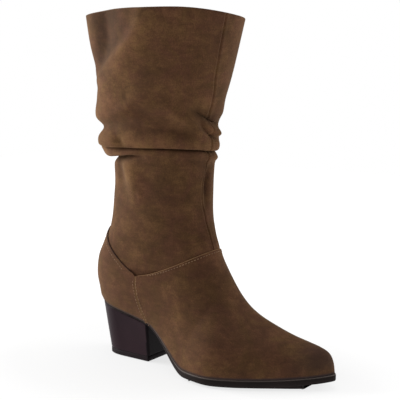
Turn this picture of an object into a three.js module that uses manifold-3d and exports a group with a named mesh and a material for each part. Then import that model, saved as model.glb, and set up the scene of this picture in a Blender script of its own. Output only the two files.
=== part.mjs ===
// A right suede boot with a slouched shaft, standing empty on its sole.
// Millimetres. The origin is the centre of the heel's ground face, +X runs to the toe,
// +Y to the wearer's left, which is the inner side of a right boot, and +Z up.
// Sections of the upper run from the toe to the collar. Each is a closed curve in a plane
// that stands upright across the foot, swings through the instep and heel like the leaves
// of a fan, and lies level in the shaft.
import * as THREE from 'three';
import { mergeVertices } from 'three/addons/utils/BufferGeometryUtils.js';
import Module from 'manifold-3d';

const wasm = await Module();
wasm.setup();

// Driving dimensions: the last
const foot_length = 242; // heel back to toe tip, along the line where upper meets sole
const ball_width = 87;
const instep_height = 104; // top of the sole to the throat, where foot turns into shaft
const toe_spring = 5;
const toe_round = 14; // length of the rounded toe end
const heel_round = 26; // length of the rounded heel end

// Driving dimensions: the shaft
const boot_height = 320.5;
const ankle_length = 105;
const ankle_width = 70;
const collar_length = 155.6;
const collar_width = 122;
const rim_rise = 8; // how far the rim stands up on the outer side
const rim_tilt = 6; // how far the rim's back stands over its front
const fold_depth = 6; // the deepest slouch fold
const wall = 1.8; // suede and lining of the shaft
const lap = 1.1; // thickness of vamp and counter where they lap over the shaft

// Driving dimensions: sole and heel
const heel_height = 38; // ground to the heel block's upper front edge
const seat_rise = 13; // climb of the heel seat from its front to its back
const heel_base_length = 55;
const heel_base_width = 45;
const heel_overhang = 10.5; // how far the seat's back stands behind the base
const top_piece_thickness = 5;
const sole_thickness = 6.3;
const waist_thickness = 2.5;
const tread_step = 2.2;
const tread_inset = 2.5;
const edge_overhang = 1; // sole edge beyond the upper
const edge_bevel = 1.2;
const insole_thickness = 2.5;
const clearance = 0.3;

// The footprint where upper meets sole: distance of each edge from the boot's axis, as
// shares of the ball width, at shares of the foot's length from the heel.
const footprint = [
  { along: 0.0, outer: 0.26, inner: 0.26 },
  { along: 0.121, outer: 0.293, inner: 0.293 },
  { along: 0.226, outer: 0.305, inner: 0.299 },
  { along: 0.318, outer: 0.339, inner: 0.282 },
  { along: 0.406, outer: 0.405, inner: 0.282 },
  { along: 0.527, outer: 0.525, inner: 0.339 },
  { along: 0.615, outer: 0.555, inner: 0.385 },
  { along: 0.695, outer: 0.475, inner: 0.408 },
  { along: 0.77, outer: 0.352, inner: 0.402 },
  { along: 0.833, outer: 0.235, inner: 0.374 },
  { along: 0.887, outer: 0.135, inner: 0.339 },
  { along: 0.937, outer: 0.035, inner: 0.287 },
  { along: 1.0, outer: -0.075, inner: 0.218 },
];

// Sections of the foot. Front and back are where the plane meets the ridge and the bed, as
// shares of the foot's length, up is the ridge's height over the bed as a share of the
// instep height, outer and inner are the widest half widths and lean the ridge's shift to
// the inner side, as shares of the ball width. Peak, and blunt below, make the curve's two
// ends squarer where they are under 1.
const foot_sections = [
  { front: 0.995, up: 0.05, back: 0.995, outer: 0, inner: 0, lean: 0, peak: 0.85 },
  { front: 0.992, up: 0.092, back: 0.992, outer: 0, inner: 0, lean: 0, peak: 0.85 },
  { front: 0.985, up: 0.138, back: 0.985, outer: 0, inner: 0, lean: 0, peak: 0.86 },
  { front: 0.973, up: 0.176, back: 0.973, outer: 0, inner: 0, lean: 0, peak: 0.87 },
  { front: 0.954, up: 0.2, back: 0.954, outer: 0, inner: 0, lean: 0.003, peak: 0.93 },
  { front: 0.929, up: 0.226, back: 0.929, outer: 0, inner: 0, lean: 0.006, peak: 0.95 },
  { front: 0.879, up: 0.262, back: 0.879, outer: 0, inner: 0, lean: 0.016, peak: 0.97 },
  { front: 0.824, up: 0.298, back: 0.824, outer: 0, inner: 0, lean: 0.037, peak: 1 },
  { front: 0.774, up: 0.338, back: 0.774, outer: 0, inner: 0, lean: 0.07, peak: 1 },
  { front: 0.732, up: 0.378, back: 0.732, outer: 0, inner: 0, lean: 0.098, peak: 1.03 },
  { front: 0.69, up: 0.425, back: 0.674, outer: 0, inner: 0, lean: 0.132, peak: 1.06 },
  { front: 0.653, up: 0.49, back: 0.615, outer: 0, inner: 0, lean: 0.155, peak: 1.1 },
  { front: 0.623, up: 0.572, back: 0.548, outer: 0.592, inner: 0.322, lean: 0.141, peak: 1.12 },
  { front: 0.596, up: 0.668, back: 0.477, outer: 0.511, inner: 0.333, lean: 0.112, peak: 1.14 },
  { front: 0.569, up: 0.776, back: 0.402, outer: 0.437, inner: 0.356, lean: 0.07, peak: 1.14 },
  { front: 0.546, up: 0.87, back: 0.331, outer: 0.408, inner: 0.374, lean: 0.036, peak: 1.12 },
  { front: 0.527, up: 0.954, back: 0.259, outer: 0.397, inner: 0.379, lean: 0.014, peak: 1.1 },
];

// Sections of the heel and ankle. Front is the reach before the ankle's axis as a share of
// the ankle length, up the height of the front over the throat as a share of the shaft,
// seat the place of the back on the bed as a share of the foot's length, and where the back
// has left the bed, back is its reach behind the axis and rise its height over the seat.
// Steps counts the mesh rows up to the next section, where there is more than one.
const ankle_sections = [
  { front: 0.57, up: 0.016, seat: 0.18, outer: 0.489, inner: 0.483, peak: 1.08, blunt: 0.82 },
  { front: 0.546, up: 0.047, seat: 0.105, outer: 0.493, inner: 0.489, peak: 1.06, blunt: 0.83 },
  { front: 0.529, up: 0.074, seat: 0.046, outer: 0.496, inner: 0.494, peak: 1.04, blunt: 0.84 },
  { front: 0.518, up: 0.093, seat: 0.0126, outer: 0.498, inner: 0.497, peak: 1.02, blunt: 0.85 },
  { front: 0.511, up: 0.107, seat: 0, outer: 0.499, inner: 0.499, peak: 1, blunt: 0.85 },
  { front: 0.503, up: 0.122, back: 0.66, rise: 0.028, outer: 0.5, inner: 0.5, peak: 1, blunt: 0.85 },
  { front: 0.5, up: 0.139, back: 0.686, rise: 0.067, outer: 0.5, inner: 0.5, peak: 1, blunt: 0.86 },
  { front: 0.496, up: 0.156, back: 0.687, rise: 0.107, outer: 0.5, inner: 0.5, peak: 1, blunt: 0.87 },
  { front: 0.493, up: 0.176, back: 0.667, rise: 0.149, outer: 0.5, inner: 0.5, peak: 1, blunt: 0.88 },
  { front: 0.49, up: 0.195, back: 0.622, rise: 0.187, outer: 0.503, inner: 0.503, peak: 1, blunt: 0.9 },
  { front: 0.488, up: 0.215, back: 0.579, rise: 0.225, outer: 0.505, inner: 0.505, peak: 1, blunt: 0.92 },
  { front: 0.487, up: 0.234, back: 0.543, rise: 0.262, outer: 0.507, inner: 0.507, peak: 1, blunt: 0.94 },
  { front: 0.487, up: 0.253, back: 0.522, rise: 0.3, outer: 0.508, inner: 0.508, peak: 1, blunt: 0.96 },
  { front: 0.487, up: 0.275, back: 0.511, rise: 0.339, outer: 0.509, inner: 0.509, peak: 1, blunt: 0.98 },
  { front: 0.488, up: 0.297, back: 0.503, rise: 0.38, outer: 0.51, inner: 0.51, peak: 1, blunt: 1 },
  { front: 0.489, up: 0.325, back: 0.491, rise: 0.425, outer: 0.515, inner: 0.515, peak: 1, blunt: 1 },
  { front: 0.494, up: 0.36, back: 0.491, rise: 0.474, outer: 0.525, inner: 0.525, peak: 1, blunt: 1, steps: 2 },
  { front: 0.498, up: 0.398, back: 0.503, rise: 0.52, outer: 0.545, inner: 0.545, peak: 1, blunt: 1, steps: 3 },
];

// Sections of the shaft, with reaches as shares of the collar length and half widths as
// shares of the collar width.
const shaft_sections = [
  { front: 0.341, up: 0.448, back: 0.391, rise: 0.569, half: 0.336, steps: 4 },
  { front: 0.35, up: 0.51, back: 0.416, rise: 0.619, half: 0.361, steps: 4 },
  { front: 0.363, up: 0.578, back: 0.436, rise: 0.671, half: 0.385, steps: 3 },
  { front: 0.391, up: 0.656, back: 0.438, rise: 0.731, half: 0.401, steps: 2 },
  { front: 0.429, up: 0.733, back: 0.439, rise: 0.792, half: 0.418, steps: 2 },
  { front: 0.467, up: 0.859, back: 0.464, rise: 0.891, half: 0.463, steps: 2 },
  { front: 0.511, up: 1.0, back: 0.489, rise: 1.0, half: 0.5, steps: 1 },
];

// Slouch folds of the shaft: up is the height as a share of the boot's, around the place
// from -1 at the back over the outer side to 0 at the front and over the inner side to 1,
// rise the height of a roll or, below zero, of a crease as a share of the fold depth, over
// and under its two flanks and slant its climb around the shaft as shares of the boot's
// height, and reach how far it runs to either side.
const folds = [
  { up: 0.638, around: -0.35, rise: -0.75, over: 0.014, under: 0.022, slant: -0.006, reach: 0.75 },
  { up: 0.652, around: -0.75, rise: 0.9, over: 0.035, under: 0.02, slant: 0.01, reach: 0.5 },
  { up: 0.657, around: 0, rise: 0.5, over: 0.03, under: 0.018, slant: -0.01, reach: 0.5 },
  { up: 0.69, around: -0.65, rise: -0.5, over: 0.02, under: 0.02, slant: 0.008, reach: 0.6 },
  { up: 0.725, around: -0.7, rise: 0.5, over: 0.05, under: 0.026, slant: 0.02, reach: 0.55 },
  { up: 0.717, around: -0.02, rise: -0.75, over: 0.016, under: 0.016, slant: -0.03, reach: 0.26 },
  { up: 0.686, around: 0.04, rise: 0.65, over: 0.018, under: 0.014, slant: -0.008, reach: 0.24 },
  { up: 0.665, around: 0.04, rise: -0.55, over: 0.014, under: 0.014, slant: -0.01, reach: 0.24 },
  { up: 0.621, around: -0.8, rise: 0.6, over: 0.014, under: 0.014, slant: 0.006, reach: 0.3 },
  { up: 0.602, around: -0.8, rise: -0.7, over: 0.014, under: 0.018, slant: 0.01, reach: 0.35 },
  { up: 0.61, around: 0.07, rise: 0.5, over: 0.014, under: 0.014, slant: 0, reach: 0.18 },
  { up: 0.641, around: 0.5, rise: -0.6, over: 0.014, under: 0.02, slant: 0, reach: 0.5 },
  { up: 0.662, around: 0.55, rise: 0.6, over: 0.03, under: 0.018, slant: -0.01, reach: 0.45 },
  { up: 0.691, around: 0.6, rise: -0.45, over: 0.02, under: 0.02, slant: 0, reach: 0.4 },
  { up: 0.722, around: 0.6, rise: 0.45, over: 0.04, under: 0.024, slant: 0, reach: 0.45 },
  { up: 0.6, around: 0.75, rise: -0.5, over: 0.014, under: 0.016, slant: 0, reach: 0.4 },
];

// The lap line in the side view, from the throat over its bend down to the side seam and
// over another bend up to the back: reach from the ankle's axis as a share of the ankle
// length, and height over the tread's bed as a share of the instep height.
const lap_line = [
  { place: 'throat', along: 0.62, up: 1.022 },
  { place: 'front bend', along: 0.2, up: 0.772 },
  { place: 'side seam', along: -0.043, up: 0.737 },
  { place: 'back bend', along: -0.275, up: 0.825 },
  { place: 'back', along: -0.59, up: 1.18 },
];

// Places along the boot as shares of the foot's length from the heel's back
const ball_start = 0.515;
const spring_start = 0.75;
const ankle_axis = 0.277;
const tread_start = 0.52;
const tread_end = 0.925;

const breast_ahead = 2; // the sole's waist starts this far before the heel's base
const bulge = 1.03; // a section's widest place over its lower edge
const foot_blunt = 0.8; // squareness of the foot's lower edge
const rim_peak = -0.25; // place around of the rim's highest point
const rim_reach = 0.6; // how far around the rise runs to either side
const girth_steps = 36; // mesh columns around one section
const outline_steps = 48; // points along each side of the sole's outline
const tread_steps = 24; // and along each side of the tread's
const heel_steps = 16; // points round the heel's back
const heel_levels = [0, 0.3, 0.6, 0.85, 1]; // heights of the heel's sections
const heel_squareness = 0.72; // of the base's back, where 1 is round
const waist_bevel = 0.4; // the sole's bevel at the waist, as a share of that at the ball
const bed_trim = 2; // how far the upper's form runs below the bed before it is trimmed

// Places that follow from the sizes
const heel_back_x = -heel_base_length / 2 - heel_overhang;
const breast_x = heel_base_length / 2 + breast_ahead;
const ball_start_x = heel_back_x + ball_start * foot_length;
const spring_start_x = heel_back_x + spring_start * foot_length;
const toe_x = heel_back_x + foot_length;
const axis_x = heel_back_x + ankle_axis * foot_length;
const tread_bed = tread_step + sole_thickness;
const breast_bed = heel_height + waist_thickness;
const seat_slope = seat_rise / (breast_x - heel_back_x);
const seat_z = breast_bed + seat_rise;
const throat_z = tread_bed + instep_height;

// The value of a column where the key column reads at, on a smooth curve through the rows.
function read(table, key, column, at) {
  const last = table.length - 1;
  let i = 0;
  while (i < last - 1 && at > table[i + 1][key]) i++;
  const slope = (j) => {
    const low = table[Math.max(j - 1, 0)];
    const high = table[Math.min(j + 1, last)];
    return (high[column] - low[column]) / (high[key] - low[key]);
  };
  const [a, b] = [table[i], table[i + 1]];
  const span = b[key] - a[key];
  const u = THREE.MathUtils.clamp((at - a[key]) / span, 0, 1);
  const v = 1 - u;
  return v * v * (1 + 2 * u) * a[column] + u * u * (1 + 2 * v) * b[column]
    + span * u * v * (v * slope(i) - u * slope(i + 1));
}

// Height of the bed, which is the top of the sole: a sloping seat over the heel, a cubic
// through the waist, the level ball, and the toe's spring.
function bed(x) {
  if (x <= breast_x) return breast_bed + seat_slope * (breast_x - x);
  if (x < ball_start_x) {
    const span = ball_start_x - breast_x;
    const u = (x - breast_x) / span;
    const v = 1 - u;
    return v * v * (1 + 2 * u) * breast_bed + u * u * (1 + 2 * v) * tread_bed
      - span * u * v * v * seat_slope;
  }
  const u = Math.max(0, (x - spring_start_x) / (toe_x - spring_start_x));
  return tread_bed + toe_spring * u * u;
}

// The two edges of the footprint at x, with both ends rounded.
function edges(x) {
  const along = (x - heel_back_x) / foot_length;
  const outer = -ball_width * read(footprint, 'along', 'outer', along);
  const inner = ball_width * read(footprint, 'along', 'inner', along);
  const centre = (outer + inner) / 2;
  const into_toe = THREE.MathUtils.clamp((x - toe_x + toe_round) / toe_round, 0, 1);
  const into_heel = THREE.MathUtils.clamp((heel_back_x + heel_round - x) / heel_round, 0, 1);
  const half = (inner - outer) / 2 * Math.sqrt((1 - into_toe ** 2) * (1 - into_heel ** 2));
  return { outer: centre - half, inner: centre + half, centre };
}

// All sections in millimetres, from the toe to the collar.
function list_sections() {
  const rows = [];
  const on_bed = (x, ridge) => {
    const edge = edges(x);
    return {
      back_x: x, back_z: bed(x) + clearance - bed_trim,
      feather_out: ridge - edge.outer, feather_in: edge.inner - ridge, ridge,
    };
  };
  const off_bed = (x, rise) => ({
    back_x: x, back_z: seat_z + rise * (boot_height - seat_z),
    feather_out: 0, feather_in: 0, ridge: 0,
  });
  for (const row of foot_sections) {
    const x = heel_back_x + row.back * foot_length;
    const front_x = heel_back_x + row.front * foot_length;
    const foot = on_bed(x, edges(x).centre + row.lean * ball_width);
    rows.push({
      ...foot, front_x, front_z: bed(front_x) + row.up * instep_height,
      outer: Math.max(row.outer * ball_width, bulge * foot.feather_out),
      inner: Math.max(row.inner * ball_width, bulge * foot.feather_in),
      peak: row.peak, blunt: foot_blunt, steps: 1,
    });
  }
  for (const row of ankle_sections) {
    const foot = row.seat === undefined
      ? off_bed(axis_x - row.back * ankle_length, row.rise)
      : on_bed(heel_back_x + row.seat * foot_length, 0);
    rows.push({
      ...foot, front_x: axis_x + row.front * ankle_length,
      front_z: throat_z + row.up * (boot_height - throat_z),
      outer: row.outer * ankle_width, inner: row.inner * ankle_width,
      peak: row.peak, blunt: row.blunt, steps: row.steps ?? 1,
    });
  }
  for (const row of shaft_sections) {
    rows.push({
      ...off_bed(axis_x - row.back * collar_length, row.rise),
      front_x: axis_x + row.front * collar_length,
      front_z: throat_z + row.up * (boot_height - throat_z),
      outer: row.half * collar_width, inner: row.half * collar_width,
      peak: 1, blunt: 1, steps: row.steps,
    });
  }
  rows.forEach((row, index) => { row.index = index; });
  return rows;
}

const sections = list_sections();
const collar_index = sections.length - 1;

// Push of the slouch folds along the outward normal, at height z and place s around.
function slouch(z, s) {
  let push = 0;
  for (const fold of folds) {
    let beside = s - fold.around;
    if (beside > 1) beside -= 2;
    if (beside < -1) beside += 2;
    const climb = z / boot_height - fold.up - fold.slant * beside / fold.reach;
    const across = climb / (climb > 0 ? fold.over : fold.under);
    const along = beside / fold.reach;
    if (Math.abs(across) < 1 && Math.abs(along) < 1) {
      push += fold.rise * fold_depth * (1 - across * across) ** 2 * (1 - along * along) ** 2;
    }
  }
  return push;
}

// A power that keeps the sign, for the curve's ends.
const signed_power = (value, power) => Math.sign(value) * Math.abs(value) ** power;

// A point of the smooth last at section t and place s around, from -1 at the outer side's
// lower edge over the ridge at 0 to 1 at the inner side's.
function last_point(t, s) {
  const at = (column) => read(sections, 'index', column, t);
  const outer_side = s < 0;
  const widest = at(outer_side ? 'outer' : 'inner');
  const feather = Math.max(0, at(outer_side ? 'feather_out' : 'feather_in'));
  const [peak, blunt] = [at('peak'), at('blunt')];
  const closing = Math.min(1, feather / widest) ** (1 / blunt);
  const end_angle = Math.PI - Math.asin(closing);
  const angle = Math.abs(s) * end_angle;
  const power = angle < Math.PI / 2 ? peak : blunt;
  const end_height = signed_power(Math.cos(end_angle), blunt);
  const share = (signed_power(Math.cos(angle), power) - end_height) / (1 - end_height);
  const width = Math.abs(s) === 1 ? feather : widest * Math.sin(angle) ** power;
  return new THREE.Vector3(
    at('back_x') + share * (at('front_x') - at('back_x')),
    at('ridge') + (outer_side ? -width : width),
    at('back_z') + share * (at('front_z') - at('back_z')),
  );
}

// The outward normal there, the same from both sides along the back seam.
function last_normal(t, s) {
  const [dt, ds] = [0.02, 0.01];
  const one_side = (u) => {
    const along = last_point(Math.min(t + dt, collar_index), u);
    along.sub(last_point(Math.max(t - dt, 0), u));
    const around = last_point(t, Math.min(u + ds, 1));
    around.sub(last_point(t, Math.max(u - ds, -1)));
    return around.cross(along).normalize();
  };
  const normal = one_side(s);
  if (Math.abs(s) === 1 && last_point(t, 1).distanceTo(last_point(t, -1)) < 0.01) {
    normal.add(one_side(-s)).normalize();
  }
  return normal;
}

// A point of the upper's form, a distance outside the smooth last with its folds.
function upper_point(t, s, distance) {
  const point = last_point(t, s);
  const push = slouch(point.z, s);
  const to_rim = Math.max(0, t - collar_index + 2) / 2;
  point.addScaledVector(last_normal(t, s), distance + push);
  const from_peak = (s - rim_peak) / rim_reach;
  const wave = Math.abs(from_peak) < 1 ? (1 - from_peak ** 2) ** 2 : 0;
  point.z += to_rim * (rim_rise * wave - rim_tilt / 2 * Math.cos(Math.PI * s));
  return point;
}

// Places of the mesh rows along the sections.
function row_places() {
  const places = [];
  sections.slice(0, -1).forEach((row) => {
    for (let k = 0; k < row.steps; k++) places.push(row.index + k / row.steps);
  });
  places.push(collar_index);
  return places;
}

// One closed solid from triangles, with shared corners merged and flat slivers dropped.
function solid_from(triangles) {
  const geometry = new THREE.BufferGeometry();
  geometry.setAttribute('position', new THREE.Float32BufferAttribute(triangles.flat(2), 3));
  const merged = mergeVertices(geometry, 0.001);
  const source = merged.index.array;
  const kept = [];
  for (let i = 0; i < source.length; i += 3) {
    const [a, b, c] = [source[i], source[i + 1], source[i + 2]];
    if (a !== b && b !== c && c !== a) kept.push(a, b, c);
  }
  return new wasm.Manifold(new wasm.Mesh({
    numProp: 3,
    vertProperties: merged.getAttribute('position').array,
    triVerts: Uint32Array.from(kept),
  }));
}

// A solid skinned over closed loops of points, all with as many points, capped at both ends.
// Each loop runs anticlockwise as seen from the last one.
function skin(loops) {
  const triangles = [];
  const count = loops[0].length;
  for (let i = 0; i + 1 < loops.length; i++) {
    for (let j = 0; j < count; j++) {
      const k = (j + 1) % count;
      const [a, b, c, d] = [loops[i][j], loops[i][k], loops[i + 1][k], loops[i + 1][j]];
      triangles.push([a, b, c], [a, c, d]);
    }
  }
  const cap = (loop, flip) => {
    const half = Math.floor(count / 2);
    for (let j = 0; j < half; j++) {
      const [a, b, c, d] = [loop[j], loop[j + 1], loop[count - 2 - j], loop[count - 1 - j]];
      if (j + 1 > count - 2 - j) break;
      triangles.push(flip ? [a, d, c] : [a, c, d], flip ? [a, c, b] : [a, b, c]);
    }
  };
  cap(loops[0], true);
  cap(loops[loops.length - 1], false);
  return solid_from(triangles);
}

// The upper's form as one filled solid, a distance outside the last, and where it is used
// as a cutter, raised over the rim.
function form(distance, over_rim = 0) {
  const columns = Array.from({ length: girth_steps + 1 }, (_, j) => 2 * j / girth_steps - 1);
  const loops = row_places().map((t) => columns.map((s) => upper_point(t, s, distance)));
  if (over_rim > 0) {
    const rim = loops[loops.length - 1];
    loops.push(rim.map((point) => point.clone().setZ(point.z + over_rim)));
  }
  return skin(loops.map((loop) => loop.map((point) => point.toArray())));
}

// Places along the foot, closer together towards both ends.
function places_along(from_x, to_x, steps) {
  const share = (k) => (1 - Math.cos(Math.PI * k / steps)) / 2;
  return Array.from({ length: steps + 1 }, (_, k) => from_x + (to_x - from_x) * share(k));
}

// The outline of the sole, the footprint pushed out by a reach worked out at each x, from
// the toe tip round the outer side to the heel and back along the inner side.
function outline(reach, from_x, to_x, steps) {
  const places = places_along(from_x, to_x, steps);
  const outer_side = places.slice(1).reverse().map((x) => [x, edges(x).outer]);
  const inner_side = places.slice(0, -1).map((x) => [x, edges(x).inner]);
  const points = [...outer_side, ...inner_side];
  return points.map(([x, y], i) => {
    const [before, after] = [points.at(i - 1), points[(i + 1) % points.length]];
    const [dx, dy] = [after[0] - before[0], after[1] - before[1]];
    const size = Math.hypot(dx, dy);
    return [x - reach(x) * dy / size, y + reach(x) * dx / size];
  });
}

// A slab over the sole's outline, with its rings listed from the top down, each by its reach
// beyond the footprint and its height.
function slab(rings, steps, from_x = heel_back_x, to_x = toe_x) {
  const on_boot = (x) => THREE.MathUtils.clamp(x, heel_back_x, toe_x + edge_overhang);
  const loops = rings.map(({ reach, height }) => outline(reach, from_x, to_x, steps)
    .map(([x, y]) => [x, y, height(on_boot(x))]).reverse());
  return skin(loops.reverse());
}

// A solid of the side view: a closed profile in X and Z, as wide as the boot needs.
function side_profile(shape, half_width) {
  const options = { depth: 2 * half_width, bevelEnabled: false, curveSegments: 10 };
  const geometry = new THREE.ExtrudeGeometry(shape, options);
  geometry.rotateX(Math.PI / 2);
  geometry.translate(0, half_width, 0);
  geometry.deleteAttribute('normal');
  geometry.deleteAttribute('uv');
  const merged = mergeVertices(geometry, 0.001);
  return new wasm.Manifold(new wasm.Mesh({
    numProp: 3,
    vertProperties: merged.getAttribute('position').array,
    triVerts: Uint32Array.from(merged.index.array),
  }));
}

// The region under the lap line, where vamp and counter cover the shaft. The line falls
// from the throat to the side seam and climbs again to the back.
function lap_region() {
  const [throat, front_bend, seam, back_bend, back] = lap_line.map((row) => [
    axis_x + row.along * ankle_length, tread_bed + row.up * instep_height,
  ]);
  const shape = new THREE.Shape();
  shape.moveTo(back[0] - ankle_length, 0);
  shape.lineTo(toe_x + ankle_length, 0);
  shape.lineTo(toe_x + ankle_length, throat[1]);
  shape.lineTo(...throat);
  shape.quadraticCurveTo(...front_bend, ...seam);
  shape.quadraticCurveTo(...back_bend, ...back);
  shape.lineTo(back[0] - ankle_length, back[1]);
  shape.closePath();
  return side_profile(shape, ball_width);
}

// Everything below the bed, which trims the upper's lower edge at the sole's own places.
function under_bed() {
  const places = places_along(heel_back_x, toe_x, outline_steps);
  const line = [heel_back_x - ankle_length, ...places, toe_x + ankle_length];
  const shape = new THREE.Shape();
  shape.moveTo(line[0], -ankle_length);
  line.forEach((x) => shape.lineTo(x, bed(x) + clearance));
  shape.lineTo(line.at(-1), -ankle_length);
  shape.closePath();
  return side_profile(shape, ball_width);
}

function make_upper() {
  const covered = form(lap).intersect(lap_region());
  return covered.add(form(0)).subtract(form(-wall, 2 * wall)).subtract(under_bed());
}

// The insole lies on the sole inside the upper's wall, cut to the wall's inner form.
function make_insole() {
  const reach = () => lap;
  const layer = slab([
    { reach, height: (x) => bed(x) + clearance + insole_thickness },
    { reach, height: (x) => bed(x) + clearance },
  ], outline_steps);
  return layer.intersect(form(-wall - clearance));
}

// How far x has come from the heel's breast, 0, to the ball, 1.
const past_waist = (x) => THREE.MathUtils.smoothstep(x, breast_x, ball_start_x);

// Thickness of the sole at x: full at the forefoot, thin through waist and seat.
const sole_depth = (x) => THREE.MathUtils.lerp(waist_thickness, sole_thickness, past_waist(x));

// The sole with a bevelled upper edge, flush over the heel and standing out round the
// forefoot, where the tread is a step below it.
function make_outsole() {
  const edge = (x) => lap + edge_overhang * past_waist(x);
  const bevel = (x) => edge_bevel * THREE.MathUtils.lerp(waist_bevel, 1, past_waist(x));
  const body = slab([
    { reach: (x) => edge(x) - bevel(x), height: bed },
    { reach: edge, height: (x) => bed(x) - bevel(x) },
    { reach: edge, height: (x) => bed(x) - sole_depth(x) + bevel(x) / 2 },
    { reach: (x) => edge(x) - bevel(x), height: (x) => bed(x) - sole_depth(x) },
  ], outline_steps);
  const tread_from = heel_back_x + tread_start * foot_length;
  const tread_to = heel_back_x + tread_end * foot_length;
  const tread = slab([
    { reach: () => -tread_inset, height: (x) => bed(x) - sole_depth(x) / 2 },
    { reach: () => -tread_inset, height: () => 0 },
  ], tread_steps, tread_from, tread_to);
  return body.add(tread);
}

// A D-shaped section of the heel, at share 0 the base and at share 1 the sole's seat: from
// the breast along the outer side, round the back and along the inner side.
function heel_loop(share, z_of) {
  const base_back = -heel_base_length / 2;
  const base_half = heel_base_width / 2;
  const points = [];
  const add = (base, seat) => {
    const x = THREE.MathUtils.lerp(base[0], seat[0], share);
    points.push([x, THREE.MathUtils.lerp(base[1], seat[1], share), z_of(x)]);
  };
  const seat_edge = (x, side) => (side < 0 ? edges(x).outer - lap : edges(x).inner + lap);
  add([-base_back, -base_half], [breast_x, seat_edge(breast_x, -1)]);
  for (let k = 0; k <= heel_steps; k++) {
    const angle = Math.PI * (k / heel_steps - 0.5);
    const base_x = base_back + heel_round * (1 - Math.cos(angle) ** heel_squareness);
    const base_y = base_half * signed_power(Math.sin(angle), heel_squareness);
    const seat_x = heel_back_x + heel_round * (1 - Math.cos(angle));
    const { outer, inner, centre } = edges(seat_x);
    const side_y = angle === 0 ? centre : (angle < 0 ? outer : inner);
    add([base_x, base_y], [seat_x - lap * Math.cos(angle), side_y + lap * Math.sin(angle)]);
  }
  add([-base_back, base_half], [breast_x, seat_edge(breast_x, 1)]);
  return points.reverse();
}

// The heel block from the top piece to the underside of the sole's seat.
function make_heel() {
  const low = top_piece_thickness + clearance;
  return skin(heel_levels.map((u) => heel_loop(u, (x) => {
    const high = bed(x) - sole_depth(x) - clearance;
    return THREE.MathUtils.lerp(low, high, u);
  })));
}

function make_top_piece() {
  return skin([heel_loop(0, () => 0), heel_loop(0, () => top_piece_thickness)]);
}

// One named mesh from a solid, in the colour and gloss of its material.
function make_mesh(name, solid, colour, roughness) {
  const { vertProperties, triVerts } = solid.getMesh();
  const geometry = new THREE.BufferGeometry();
  geometry.setAttribute('position', new THREE.BufferAttribute(vertProperties, 3));
  geometry.setIndex(new THREE.BufferAttribute(triVerts, 1));
  geometry.computeVertexNormals();
  const material = new THREE.MeshStandardMaterial({ color: colour, roughness, metalness: 0 });
  const mesh = new THREE.Mesh(geometry, material);
  mesh.name = name;
  return mesh;
}

const boot = new THREE.Group();
boot.add(make_mesh('upper', make_upper(), '#5f4630', 0.95));
boot.add(make_mesh('insole', make_insole(), '#8a7358', 0.8));
boot.add(make_mesh('outsole', make_outsole(), '#2e2827', 0.6));
boot.add(make_mesh('heel', make_heel(), '#33282a', 0.4));
boot.add(make_mesh('top_piece', make_top_piece(), '#221e1e', 0.7));

export default boot;
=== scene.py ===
"""A right suede boot with a slouched shaft and a block heel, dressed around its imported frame.

Lengths in this file are millimetres unless a name says metres. +X runs to the toe, +Y to the
wearer's left, which is the inner side of a right boot, +Z up, and the origin is the centre of
the heel's ground face. The last's named sizes and tables repeat those of the solids, so each
new surface lies where the solids are.
"""
import logging
import math
from collections.abc import Callable
from dataclasses import dataclass, field
from enum import Enum

import bpy
import numpy as np
from mathutils import Matrix, Vector


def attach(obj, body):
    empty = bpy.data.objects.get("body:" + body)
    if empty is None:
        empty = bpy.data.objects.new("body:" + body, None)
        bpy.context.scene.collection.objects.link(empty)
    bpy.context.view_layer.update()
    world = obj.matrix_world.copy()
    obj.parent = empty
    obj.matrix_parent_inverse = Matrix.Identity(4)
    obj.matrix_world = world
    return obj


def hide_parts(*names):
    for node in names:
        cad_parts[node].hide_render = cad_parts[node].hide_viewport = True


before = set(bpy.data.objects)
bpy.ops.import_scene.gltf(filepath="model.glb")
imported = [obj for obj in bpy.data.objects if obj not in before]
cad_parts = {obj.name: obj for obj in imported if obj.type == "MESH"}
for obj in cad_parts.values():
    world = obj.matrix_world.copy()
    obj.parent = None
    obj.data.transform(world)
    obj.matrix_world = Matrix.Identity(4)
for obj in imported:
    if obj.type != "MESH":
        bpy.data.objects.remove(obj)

MM = 0.001
ROOT = "root"
WELD_MM = 0.004
HASH_WEIGHTS = (127.1, 311.7, 74.7)
HASH_SPREAD = 43758.5453
log = logging.getLogger("boot")


class Side(Enum):
    """The boot's two sides: out is the wearer's right, and in the left."""

    OUT = 1
    IN = -1


class Slot(Enum):
    """The record's material slots."""

    SUEDE = "suede"
    SOCK = "insole_sock"
    SOLE = "sole_rubber"
    HEEL = "heel_cover"
    TOP_PIECE = "top_piece_rubber"


def hermite(keys: np.ndarray, values: np.ndarray, at: np.ndarray) -> np.ndarray:
    """Reads a smooth curve through table rows.

    A cubic between each pair of rows, whose slope at a row is that between its neighbours.

    Args:
        keys: Rising key of each row.
        values: Value of each row.
        at: Keys to read at, held to the table's ends.

    Returns:
        The value at each key.
    """
    keys, values = np.asarray(keys, float), np.asarray(values, float)
    low = np.maximum(np.arange(len(keys)) - 1, 0)
    high = np.minimum(np.arange(len(keys)) + 1, len(keys) - 1)
    slope = (values[high] - values[low]) / (keys[high] - keys[low])
    at = np.clip(at, keys[0], keys[-1])
    i = np.clip(np.searchsorted(keys, at, side="left") - 1, 0, len(keys) - 2)
    span = keys[i + 1] - keys[i]
    u = (at - keys[i]) / span
    v = 1.0 - u
    return (v * v * (1 + 2 * u) * values[i] + u * u * (1 + 2 * v) * values[i + 1]
            + span * u * v * (v * slope[i] - u * slope[i + 1]))


def smoothstep(at: np.ndarray, low: float, high: float) -> np.ndarray:
    """A rise from 0 at low to 1 at high with level ends: 3u squared less 2u cubed."""
    u = np.clip((at - low) / (high - low), 0.0, 1.0)
    return u * u * (3 - 2 * u)


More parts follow.
